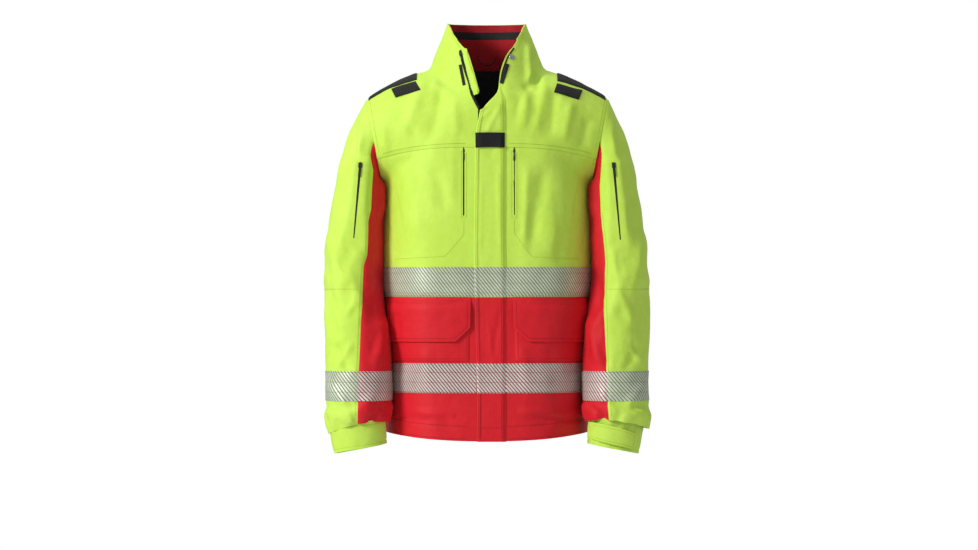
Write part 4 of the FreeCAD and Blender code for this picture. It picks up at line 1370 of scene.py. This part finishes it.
for dx in (2.2, 6.0):
    zz = np.linspace(-57, -338, 60)
    sew_flap("y", np.stack([flap_left(zz) + dx, zz], axis=1))
    zz = np.linspace(-50, -338, 60)
    sew_flap("y", np.stack([flap_right(zz) - dx - 2.5, zz], axis=1))
    for lo, hi in ((-394, -508), (-562, -641)):
        zz = np.linspace(lo, hi, 60)
        sew_flap("r", np.stack([flap_left(zz) + dx, zz], axis=1))
        sew_flap("r", np.stack([flap_right(zz) - dx - 2.5, zz], axis=1))
sew_flap("r", [(-15, -622), (31, -622)])

# radio loop across the flap
nu, nv = 46, 16
S, Tt = np.meshgrid(np.linspace(0, 1, nu), np.linspace(0, 1, nv), indexing="ij")
S, Tt = S.ravel(), Tt.ravel()
X = lerp(-20.5, 31.5, S)
Z = lerp(-128.0, -102.0, Tt) + 0.6 * np.sin(S * 3.1)
arch = smooth(0.0, 0.10, S - 0.05) * smooth(1.0, 0.90, S + 0.05)
Y = flap_y(X, Z) - 1.5 - 2.6 * arch * (0.85 + 0.25 * np.sin(S * 9.0 + 0.6)) + 0.25 * np.cos((Tt - 0.5) * 6.0)
P = np.stack([X, Y, Z], axis=1)
Q = grid_faces(nu, nv)
N = normals(P, Q)
if N[:, 1].mean() > 0:
    Q, N = Q[:, ::-1], -N
V, Fc, _ = thick(P, Q, 1.3, None, N)
put_piece("radio_loop_webbing", V, Fc, M_WEB, "storm_flap", ["radio_loop"])
for sx in (-18.6, -15.2, 26.2, 29.6):
    zz = np.linspace(-126, -104, 9)
    Yp = flap_y(np.full(9, sx), zz) - 1.7
    P = np.stack([np.full(9, sx), Yp, zz], axis=1)
    sew("k", "storm_flap", P, np.tile([0, -1.0, 0], (9, 1)), pitch=3.2, length=2.2)


# lower pockets and their flaps
def pocket(side):
    sg = -1 if side == "right" else 1
    a_in, a_out = (31.0, 205.0) if side == "right" else (49.0, 205.0)
    nu, nv = 64, 40
    A = np.linspace(a_in, a_out, nu)
    Zs = np.linspace(-505, -397, nv)
    AA, ZZ = np.meshgrid(A, Zs, indexing="ij")
    P, N = radial((sg * AA).ravel(), ZZ.ravel())
    e = np.minimum(np.minimum(AA - a_in, a_out - AA), ZZ + 505.0).ravel()
    q = np.stack([AA.ravel(), ZZ.ravel(), np.full(AA.size, 3.0 * sg)], axis=1)
    o = 0.9 + 1.6 * smooth(0, 3.0, e) + 1.8 * smooth(6, 50, e) + 0.9 * noise(q / 34.0, 51) * smooth(0, 14, e) - 0.5 * np.exp(-((e - 4.5) / 1.5) ** 2)
    V, Fc, _ = laid(P, N, nu, nv, o, o + 0.5)
    put_piece("pocket_" + side, V, Fc, M_RED, "coat_body", ["lower_pocket_" + side])
    path = resample(np.array([(a_in + 4.5, -400), (a_in + 4.5, -500.5), (a_out - 4.5, -500.5)], float), 3.0)
    P2, N2 = radial(sg * path[:, 0], path[:, 1])
    sew("r", "coat_body", P2 + N2 * 2.1, N2)
    # flap
    nu, nv = 70, 34
    b_in, b_out = (29.0, 207.0) if side == "right" else (46.5, 207.0)
    A = np.linspace(b_in, b_out, nu)
    s = np.linspace(0, 1, nv)
    AA, SS = np.meshgrid(A, s, indexing="ij")
    AA, SS = AA.ravel(), SS.ravel()
    bottom = np.where(AA < b_in + 25, -446.0 - 25.0 * (AA - b_in) / 25.0, -471.0)
    ZZ = lerp(-393.5, bottom, SS)
    P, N = radial(sg * AA, ZZ)
    down = -393.5 - ZZ
    q = np.stack([AA, ZZ, np.full(AA.size, 9.0 * sg)], axis=1)
    ed = np.minimum(np.minimum(AA - b_in, b_out - AA), ZZ - bottom)
    o = 1.8 + 4.6 * smooth(0, 22, down) + 0.9 * noise(q / 40.0, 53) * smooth(4, 20, down) + 0.9 * smooth(40, 76, down)
    o += 1.2 * np.exp(-((ed - 0) / 1.5) ** 2) * -0.5 - 0.45 * np.exp(-((ed - 5.5) / 1.4) ** 2)
    V, Fc, _ = laid(P, N, nu, nv, o, 2.0)
    j = "pocket_flap_" + side
    put_piece("flap_of_pocket_" + side, V, Fc, M_RED, None, [j],
              blend=lambda ob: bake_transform(ob))
    for inset in (5.5,):
        path = resample(np.array([(b_in + inset, -398), (b_in + inset, -444), (b_in + 27, -471 + inset), (b_out - inset, -471 + inset)], float), 3.0)
        P2, N2 = radial(sg * path[:, 0], path[:, 1])
        dn = -393.5 - path[:, 1]
        o2 = 1.8 + 4.6 * smooth(0, 22, dn) + 0.9 * smooth(40, 76, dn)
        sew("r", j, P2 + N2 * (o2 - 0.15)[:, None], N2)


pocket("right")
pocket("left")

# topstitching on the trunk
for s in (-1, 1):
    xs = np.linspace(38, 186, 50)
    zy = -127 - 20 * (xs / 195) ** 3
    sew_front("y", "coat_body", np.stack([s * xs, zy + 6.5], axis=1), lift=1.0)
    xs = np.linspace(36, 170, 50)
    sew_front("r", "coat_body", np.stack([s * xs, hem_line(xs) + 26.0], axis=1), lift=0.0)
    sew_front("r", "coat_body", np.stack([s * xs, hem_line(xs) + 4.0], axis=1), lift=0.1)
for pts in ([(-41, -255), (-41, -282), (-74, -320), (-166, -325)], [(48, -255), (48, -279), (79, -321), (166, -325)],
            [(-45.5, -133), (-45.5, -252), (-36.5, -252), (-36.5, -133)], [(43.5, -133), (43.5, -252), (52.5, -252), (52.5, -133)]):
    sew_front("y", "coat_body", pts)
A2 = np.linspace(30, FULL - 30, 300)
P2, N2 = radial(A2, np.full(300, -619.0))


# patches on the shoulders
def shoulder_patch(side):
    sg = -1 if side == "right" else 1
    nu, nv = 34, 40
    U, Vv = np.meshgrid(np.linspace(0, 1, nu), np.linspace(0, 1, nv), indexing="ij")
    U, Vv = U.ravel(), Vv.ravel()
    X = lerp(125.0, 211.0, U)
    y0 = np.interp(X, [125, 170, 211], [-54.0, -37.0, -30.0])
    Y = lerp(y0, 60.0, Vv)
    P, N = [], []
    for x, y in zip(X, Y):
        loc, n = SK.hit((sg * x, y, 300), (0, 0, -1))
        P.append(loc)
        N.append(n)
    P, N = np.array(P), np.array(N)
    e = np.minimum(np.minimum(X - 125, 211 - X), np.minimum(Y - y0, 60 - Y))
    o = 1.3 + 0.9 * smooth(0, 2.5, e)
    V, Fc, _ = laid(P, N, nu, nv, o, 1.6)
    put_piece("shoulder_patch_cloth_" + side, V, Fc, M_WEB, "coat_body", ["shoulder_patch_" + side])


shoulder_patch("right")
shoulder_patch("left")


def quad_on(corners, nu, nv):
    c = np.array(corners, float)
    U, Vv = np.meshgrid(np.linspace(0, 1, nu), np.linspace(0, 1, nv), indexing="ij")
    U, Vv = U.ravel()[:, None], Vv.ravel()[:, None]
    X = lerp(lerp(c[0], c[1], U), lerp(c[3], c[2], U), Vv)
    e = np.minimum(np.minimum(U, 1 - U) * 45, np.minimum(Vv, 1 - Vv) * 16)[:, 0]
    return X, e


def ribbon(pts, width, nv=6, step=2.0):
    """(x, z) grid of a strip of the given width along a path."""
    pts = resample(np.array(pts, float), step)
    d = unit(np.gradient(pts, axis=0))
    n = np.stack([-d[:, 1], d[:, 0]], axis=1)
    w = width(np.linspace(0, 1, len(pts))) if callable(width) else np.full(len(pts), width)
    k = np.linspace(-0.5, 0.5, nv)
    X = pts[:, None] + n[:, None] * (w[:, None, None] * k[None, :, None])
    return X.reshape(-1, 2), len(pts), nv


def strip(name, pts, width, off, t, mat, body, nodes=(), surf=None, nv=6, round_ends=False, step=2.0):
    X, nu, nv = ribbon(pts, width, nv, step)
    P, N = (surf or SK).front(X)
    e = np.minimum(np.arange(nv), np.arange(nv)[::-1])
    o = np.tile(off + 0.35 * np.minimum(e, 1), nu)
    V, Fc, _ = laid(P, N, nu, nv, o, t)
    return put_piece(name, V, Fc, mat, body, nodes)


parts = []
for k, cs_ in enumerate(([(-170, -23), (-127, -9), (-118, -25), (-162, -38.5)], [(124, -14), (169.5, -25), (162.5, -42), (118.5, -29)])):
    X, e = quad_on(cs_, 30, 12)
    P, N = SK.front(X)
    o = 1.8 + 0.8 * smooth(0, 2, e) + 0.6 * np.sin(X[:, 0] / 9.0)
    V, Fc, _ = laid(P, N, 30, 12, o, 1.6)
    parts.append((V, Fc[0]))
V, Fc = join(parts)
put_piece("mic_tab_loops", V, Fc, M_WEB, "coat_body", ["mic_tabs"])

# collar details
strip("zip_guard_cloth", [(-38.5, 44), (-36.5, 30), (-31, 8), (-25, -14), (-20.5, -27), (-18.5, -34)], lambda s: 6.5 + 5.0 * smooth(0, 0.75, s) - 7.0 * smooth(0.86, 1.0, s), 1.3, 1.6, M_YEL, "coat_body", ["zip_guard"], nv=10)
ZL = [(-47.6, 45), (-42.5, 23), (-37.5, 6), (-31.5, -12), (-27.5, -32), (-20, -48), (-14.5, -58)]
strip("collar_zip_tape", ZL, 4.6, 0.7, 1.2, M_WEB, "coat_body", ["collar_zip_chain"], nv=6)
strip("collar_hook_right", [(-47.5, 20), (-44.5, 4), (-40.5, -17)], 5.2, 0.9, 1.3, M_HOOK, "coat_body", ["collar_hook_strips"])
strip("collar_hook_left", [(36.5, 21), (31.5, 4), (25.5, -14)], 6.2, 1.3, 1.5, M_HOOK, "coat_body")
strip("collar_edge_binding", [(47.5, 50), (36, 33), (27.5, 9), (23.8, -12)], 2.6, 0.8, 1.2, M_WEB, "coat_body", nv=5)


def teeth(name, pts, surf, lift, mat, body, size=(3.2, 1.1, 1.3), pitch=2.2):
    pts = resample(np.array(pts, float), pitch)
    P, N = surf.front(pts)
    D = unit(np.gradient(P, axis=0))
    out = []
    base = np.array([(-1, -1, 0), (1, -1, 0), (1, 1, 0), (-1, 1, 0), (-0.8, -0.7, 1), (0.8, -0.7, 1), (0.8, 0.7, 1), (-0.8, 0.7, 1)], float)
    Fb = np.array([(0, 3, 2, 1), (4, 5, 6, 7), (0, 1, 5, 4), (1, 2, 6, 5), (2, 3, 7, 6), (3, 0, 4, 7)])
    for k, (p, n, d) in enumerate(zip(P, N, D)):
        w = unit(np.cross(d, n))
        sx = 0.55 if k % 2 else -0.55
        v = p + w * (base[:, :1] * size[0] / 2 + sx) + d * (base[:, 1:2] * size[1] / 2) + n * (lift + base[:, 2:] * size[2])
        out.append((v, Fb))
    V, F_ = join(out)
    return put_piece(name, V, F_, mat, body)


teeth("collar_zip_teeth", ZL, SK, 1.2, M_ZIP, "coat_body")


def pull(name, p, d, n, body, mat=None, k=1.0):
    """A zip slider's body with its tab hanging along d."""
    w = unit(np.cross(d, n))
    prof = [(-5, 2.2, 0.8), (-4, 3.4, 2.6), (0, 3.8, 3.2), (4, 3.0, 2.8), (6, 1.6, 1.0)]
    rows = []
    for a, hw, h in prof:
        ring_ = [p + d * a * k + w * hw * k * math.cos(t) + n * max(0.0, h * k * math.sin(t)) for t in np.linspace(0, math.pi, 9)]
        rows.append(ring_ + [p + d * a * k - n * 0.6])
    v, f = closed([np.array(r) for r in rows])
    V1, F1 = list(v), [tuple(q) for q in f]
    tab = [(5, 1.5, 2.8, 1.0), (9, 1.9, 3.4, 1.1), (20, 2.6, 2.6, 1.2), (26, 2.8, 2.2, 1.2), (28, 1.8, 2.0, 0.8)]
    rows = []
    for a, hw, h, th_ in tab:
        c = p + d * a * k + n * h * k
        rows.append(np.array([c + w * hw * k * math.cos(t) + n * th_ * 0.6 * k * math.sin(t) for t in np.linspace(0, 2 * math.pi, 12, endpoint=False)]))
    v2, f2 = closed(rows)
    base = len(V1)
    V1 += list(v2)
    F1 += [tuple(i + base for i in q) for q in f2]
    me = bpy.data.meshes.new(name)
    me.from_pydata((np.array(V1) * MM).tolist(), [], F1)
    me.materials.append(mat or M_ZIP)
    me.polygons.foreach_set("use_smooth", np.ones(len(me.polygons), dtype=bool))
    me.update()
    import bmesh
    bm = bmesh.new()
    bm.from_mesh(me)
    bmesh.ops.recalc_face_normals(bm, faces=bm.faces)
    bm.to_mesh(me)
    bm.free()
    ob = bpy.data.objects.new(name, me)
    bpy.context.scene.collection.objects.link(ob)
    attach(ob, body)
    return ob


for side, cx in (("right", -41.0), ("left", 48.0)):
    yy = plane_y(-134.0) - 0.9
    ob = pull("chest_zip_pull_" + side, np.array([cx, yy, -134.0]), np.array([0, -0.05, -1.0]), np.array([0, -1.0, 0.05]), "chest_slider_" + side, k=0.62)
    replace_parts(ob, "chest_slider_" + side)
P, N = SK.front(np.array([(-46.2, 38.0)]))
pull("collar_zip_pull", P[0] + N[0] * 2.0, unit(np.array([0.28, -0.1, -0.95])), N[0], "coat_body", k=0.75)

# snap on the left collar edge, and the hanger loop
P, N = SK.front(np.array([(44.0, 34.0)]))
c, n = P[0], N[0]
w1 = unit(np.cross(n, [0, 0, 1.0]))
w2 = np.cross(n, w1)
rows = []
for r, h in ((5.4, 0.2), (5.4, 1.0), (4.8, 1.6), (3.6, 1.7), (3.0, 0.9), (0.8, 0.8)):
    rows.append(np.array([c + n * h + (w1 * math.cos(t) + w2 * math.sin(t)) * r for t in np.linspace(0, 2 * math.pi, 28, endpoint=False)]))
v, f = closed(rows)
me = bpy.data.meshes.new("snap_ring")
me.from_pydata((v * MM).tolist(), [], f)
me.materials.append(M_SNAP)
me.polygons.foreach_set("use_smooth", np.ones(len(me.polygons), dtype=bool))
me.update()
ob = bpy.data.objects.new("snap_ring", me)
bpy.context.scene.collection.objects.link(ob)
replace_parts(ob, "collar_snap")
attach(ob, "coat_body")

lo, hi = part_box("hanger_loop")
lo, hi = np.array(lo) / MM, np.array(hi) / MM
yc = (lo[1] + hi[1]) / 2
ts = np.linspace(math.pi, 2 * math.pi, 40)
zt = hi[2]
P = np.stack([17 * np.cos(ts), yc + 3.0 * np.sin(ts) * 1.0, zt + 17.0 * np.sin(ts)], axis=1)
D = unit(np.gradient(P, axis=0))
N = unit(np.cross(D, np.tile([0, 1.0, 0], (40, 1))))
Wd = np.cross(D, N)
k = np.linspace(-1, 1, 7)
V = (P[:, None] + Wd[:, None] * (3.6 * k[None, :, None]) + N[:, None] * (0.5 * (1 - k[None, :, None] ** 2))).reshape(-1, 3)
Q = grid_faces(40, 7)
v2, f2, _ = thick(V, Q, 1.4, None, normals(V, Q))
put_piece("hanger_loop_webbing", v2, f2, M_WEB, "coat_body", ["hanger_loop"])


# ---------------------------------------------------------------- sleeve bands, cuffs and tabs
def cuff_ring(sg, t, z, grow=0.0):
    """Point of the cuff at angle t, height z; t 0 is the outer side, quarter turn is the front."""
    s = np.clip((-600.0 - z) / 68.0, 0, 1)
    cx = lerp(230.5, 223.0, s)
    hw = lerp(51.0, 45.5, s) + grow
    hd = lerp(56.0, 52.0, s) + grow
    ct, st = np.cos(t), np.sin(t)
    ct = np.sign(ct) * np.abs(ct) ** 0.93
    st = np.sign(st) * np.abs(st) ** 0.93
    return np.stack([sg * (cx + hw * ct), -81.0 - hd * st, z], axis=-1)


for side in ("right", "left"):
    S = SLEEVE[side]
    sg = S["sg"]
    surf = S["surf"]
    body = "sleeve_" + side
    # reflective band round the forearm
    nu, nv = 150, 12
    a = np.linspace(0, 2 * np.pi, nu, endpoint=False)
    zc = np.linspace(0, 1, nv)
    tilt = 0.0
    P, N, UV = [], [], []
    for t in a:
        for q in zc:
            z = -575.0 + 52.0 * q
            o = np.array([sg * 229.0, -74.0, z])
            d = np.array([sg * math.cos(t), -math.sin(t), 0.0])
            loc, n = surf.hit(o + d * 300, -d, 600)
            P.append(loc)
            N.append(n)
            UV.append((sg * -1 * t * 62.0 if sg < 0 else t * 62.0, z))
    P, N, UV = np.array(P), np.array(N), np.array(UV)
    # joined end doubled so that the pattern does not smear
    P = np.vstack([P, P[:nv]])
    N = np.vstack([N, N[:nv]])
    UV = np.vstack([UV, np.stack([np.full(nv, (-1 if sg < 0 else 1) * 2 * math.pi * 62.0), UV[:nv, 1]], axis=1)])
    UV[:, 0] = -UV[:, 0] * sg if sg > 0 else UV[:, 0]
    A = P.reshape(nu + 1, nv, 3)
    Nn = unit(smooth_grid(N, nu + 1, nv, 3))
    Vv = smooth_grid(P, nu + 1, nv, 1) + Nn * 1.15
    Vv.reshape(nu + 1, nv, 3)[-1] = Vv.reshape(nu + 1, nv, 3)[0]
    Q = grid_faces(nu + 1, nv)
    fn = face_normals(Vv, Q)
    if (fn * Nn[Q[:, 0]]).sum() < 0:
        Q = Q[:, ::-1]
    cen = Vv[Q].mean(axis=1)
    red = S["split"](cen) < 0
    v2, f2, u2 = thick(Vv, Q, 1.2, UV, Nn)
    nq = len(Q)
    idx = np.zeros(len(f2[0]), int)
    idx[:nq] = red
    idx[nq:2 * nq] = red
    put_piece("sleeve_band_" + side, v2, f2, [M_TAPE_Y, M_TAPE_R], body, ["sleeve_tape_" + side], uv=u2, mat_index=idx)
    # cuff
    nu, nv = 90, 26
    th = np.linspace(0, 2 * np.pi, nu, endpoint=False)
    TT, QQ = np.meshgrid(th, np.linspace(0, 1, nv), indexing="ij")
    TT, QQ = TT.ravel(), QQ.ravel()
    zb = -660.0 - 9.0 * np.cos(TT)
    Z = lerp(-600.0, zb, QQ)
    P = cuff_ring(sg, TT, Z)
    Q = grid_faces(nu, nv, True)
    N = normals(P, Q)
    c0 = np.array([sg * 226.0, -81.0, 0])
    if ((P - c0) * N)[:, :2].sum() < 0:
        Q, N = Q[:, ::-1], -N
    gather = 1.1 * np.sin(TT * 15 + 2.0 * noise(P / 30.0, 61)) * (0.35 + 0.65 * (1 - QQ)) + 1.2 * noise(P / 22.0, 62)
    gather -= 0.9 * np.exp(-((Z - zb - 7.0) / 1.8) ** 2)
    P = P + N * np.clip(gather, -2, 2.2)[:, None]
    cq = P[Q].mean(axis=1)
    yel = (np.abs(cq[:, 0]) > (186.0 if side == "right" else 100.0)).astype(int)
    v2, f2, _ = thick(P, Q, 1.8, None, N)
    idx = np.zeros(len(f2[0]), int)
    idx[:len(Q)] = yel
    idx[len(Q):] = (np.abs(v2[f2[0][len(Q):]].mean(axis=1)[:, 0]) > (186.0 if side == "right" else 100.0))
    put_piece("cuff_cloth_" + side, v2, f2, [M_RED, M_YEL], body, ["cuff_" + side], mat_index=idx)
    # tab: wraps the front of the cuff from the inner side
    nu, nv = 56, 20
    t0, t1 = math.radians(158), math.radians(16 if side == "right" else 42)
    U, K = np.meshgrid(np.linspace(0, 1, nu), np.linspace(0, 1, nv), indexing="ij")
    U, K = U.ravel(), K.ravel()
    T_ = lerp(t0, t1, U)
    if side == "right":
        ztop = lerp(-606.0, -617.0, U)
        zlow = lerp(-650.0, -668.0, U)
    else:
        ztop = lerp(-612.0, -634.0, U) + 5 * np.sin(U * math.pi)
        zlow = lerp(-638.0, -661.0, U)
    # the free end is cut at a slant with rounded corners
    endc = 1 - np.abs(K - 0.5) * 2
    T_ = lerp(t0, t1 + 0.10 * (1 - smooth(0.0, 0.35, endc)), U)
    Z = lerp(zlow, ztop, K)
    P = cuff_ring(sg, T_, Z, 2.0)
    P[:, 1] -= 1.4 * smooth(0.5, 1.0, U)
    Q = grid_faces(nu, nv)
    N = normals(P, Q)
    if ((P - c0) * N)[:, :2].sum() < 0:
        Q, N = Q[:, ::-1], -N
    e = np.minimum(np.minimum(K, 1 - K) * 34, (1 - U) * 90)
    q3 = P / 20.0
    h = 1.6 + 0.9 * noise(q3, 63) - 0.5 * np.exp(-((e - 4.5) / 1.2) ** 2) + 1.2 * smooth(0.0, 0.2, U)
    P = P + N * h[:, None]
    v2, f2, _ = thick(P, Q, 2.0, None, N)
    j = "cuff_tab_" + side
    put_piece("cuff_tab_cloth_" + side, v2, f2, M_YEL, None, [j],
              blend=lambda ob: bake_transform(ob))
    rim_ = [(0.12, 0.13), (0.93, 0.13), (0.95, 0.5), (0.93, 0.87), (0.12, 0.87)]
    G3 = P.reshape(nu, nv, 3)
    path = resample(np.array(rim_) * np.array([90, 34.0]), 2.5) / np.array([90, 34.0])
    PP = []
    for u, k_ in path:
        i, jj = min(int(u * (nu - 1)), nu - 2), min(int(k_ * (nv - 1)), nv - 2)
        PP.append(G3[i, jj])
    PP = np.array(PP)
    NN_ = unit((PP - c0) * np.array([1, 1, 0]))
    sew("y", j, PP, NN_)


# stitches of the sleeves ride rigidly only below the shoulder's bend
for side in ("right", "left"):
    S = SLEEVE[side]
    if "elbow" in S:
        sew("y", "sleeve_" + side, S["elbow"][0] + S["elbow"][1] * 0.1, S["elbow"][1])
    P, N = S["seam_y"]
    keep = P[:, 2] < -240
    sew("y", "sleeve_" + side, P[keep] + unit(N[keep]) * 0.1, unit(N[keep]))
# armhole seam on the trunk
for sg in (-1, 1):
    c0 = np.array([sg * 200.0, 0.0, -115.0])
    ln = math.radians(10.4)
    up = np.array([sg * math.sin(ln), 0, math.cos(ln)])
    ax_ = np.array([sg * math.cos(ln), 0, -math.sin(ln)])
    for off in (-4.5,):
        P, N = [], []
        for t in np.linspace(0.35, 2.2, 90):
            for q in (t,):
                d = up * math.cos(q) + np.array([0, -1.0, 0]) * math.sin(q)
                loc, n = SK.hit(c0 + ax_ * off, d, 300)
                if loc is not None:
                    P.append(loc)
                    N.append(-n if n @ d < 0 else n)
        if len(P) > 8:
            P, N = np.array(P), unit(np.array(N))
            sew("y", "coat_body", P + N * 0.1, N)

for pts in ([(-64, 80), (-57, 66), (-50, 55), (-43, 43)], [(49, 44), (56, 57), (62, 70), (67, 82)]):
    sew_front("y", "coat_body", pts)
xb = np.linspace(-165, 165, 90)
P, N = SK.front(np.stack([xb, -150.0 - 6.0 * (np.abs(xb) / 180.0) ** 2 + 6.0], axis=1), side=1)
sew("y", "coat_body", P + unit(N) * 0.6, unit(N))
xb = np.linspace(-160, 160, 90)
P, N = SK.front(np.stack([xb, hem_line(xb) + 26.0], axis=1), side=1)
sew("r", "coat_body", P, unit(N))


# ---------------------------------------------------------------- stitches, one piece for each thread and body
THREAD = {"y": (M_THY, "hivis_yellow"), "r": (M_THR, "red"), "k": (M_THK, "black_fabric"), "k2": (M_THG, "reflective")}
for (key, body), lst in sorted(RIDERS.items()):
    V, F_ = join(lst)
    mat, slot_ = THREAD[key]
    ob = mesh_obj("stitches_%s_%s" % (key, body), V, F_, mat)
    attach(ob, body)


# ---------------------------------------------------------------- finish of the carried-over trim
FINISH = {"zip_plastic": M_ZIP, "black_fabric": M_WEB, "snap_metal": M_SNAP, "reflective": M_TAPE_Y, "lining_black": M_BLK_IN, "hivis_yellow": M_YEL, "red": M_RED}
for name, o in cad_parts.items():
    if o.type != "MESH":
        continue
    for s in o.material_slots:
        key = s.material.name.split(".")[0] if s.material else ""
        for k, m in FINISH.items():
            if k in key:
                s.material = m
                break
        else:
            s.material = M_ZIP

# ---------------------------------------------------------------- floor, light, camera
scene = bpy.context.scene
scene.view_settings.view_transform = "Standard"
fm = Mat("floor_pale", rough=0.8, spec=0.2)
fv = fm.coord()
fm.l(fm.ramp(fm.noise(fv, 3.0, 2.0), [(0.3, (0.86, 0.86, 0.86, 1)), (0.7, (0.9, 0.9, 0.9, 1))]), fm.b.inputs["Base Color"])
fo = mesh_obj("floor_plane", np.array([(-3500, -2600, -1350), (3500, -2600, -1350), (3500, 2600, -1350), (-3500, 2600, -1350)], float), np.array([(0, 1, 2, 3)]), fm.m, flat=True)

world = bpy.data.worlds.new("studio")
scene.world = world
world.use_nodes = True
bg = world.node_tree.nodes["Background"]
bg.inputs["Color"].default_value = (1.0, 1.0, 1.0, 1.0)
wt = world.node_tree
lp = wt.nodes.new("ShaderNodeLightPath")
mr = wt.nodes.new("ShaderNodeMapRange")
mr.inputs["To Min"].default_value = 0.42
mr.inputs["To Max"].default_value = 1.0
wt.links.new(lp.outputs["Is Camera Ray"], mr.inputs["Value"])
wt.links.new(mr.outputs["Result"], bg.inputs["Strength"])


def area(name, loc, target, size, power, size_y=None):
    li = bpy.data.lights.new(name, "AREA")
    li.shape = "RECTANGLE"
    li.size = size
    li.size_y = size_y or size
    li.energy = power
    ob = bpy.data.objects.new(name, li)
    scene.collection.objects.link(ob)
    ob.location = loc
    d = Vector(target) - Vector(loc)
    ob.rotation_euler = d.to_track_quat("-Z", "Y").to_euler()
    return ob


area("key", (-2.6, -2.0, 1.2), (0, 0, -0.25), 0.9, 94.0)
area("fill", (2.6, -2.6, 0.2), (0, 0, -0.3), 1.6, 4.0)
area("top", (-0.3, 0.2, 2.2), (0, 0, 0), 1.2, 14.0)

cam = bpy.data.cameras.new("cam")
cam.lens = 187.65
cam.sensor_width = 36.0
cam.clip_end = 50.0
co = bpy.data.objects.new("cam", cam)
scene.collection.objects.link(co)
co.location = (0.0035, -9.12, -0.353)
co.rotation_euler = (math.radians(90), 0, 0)
scene.camera = co
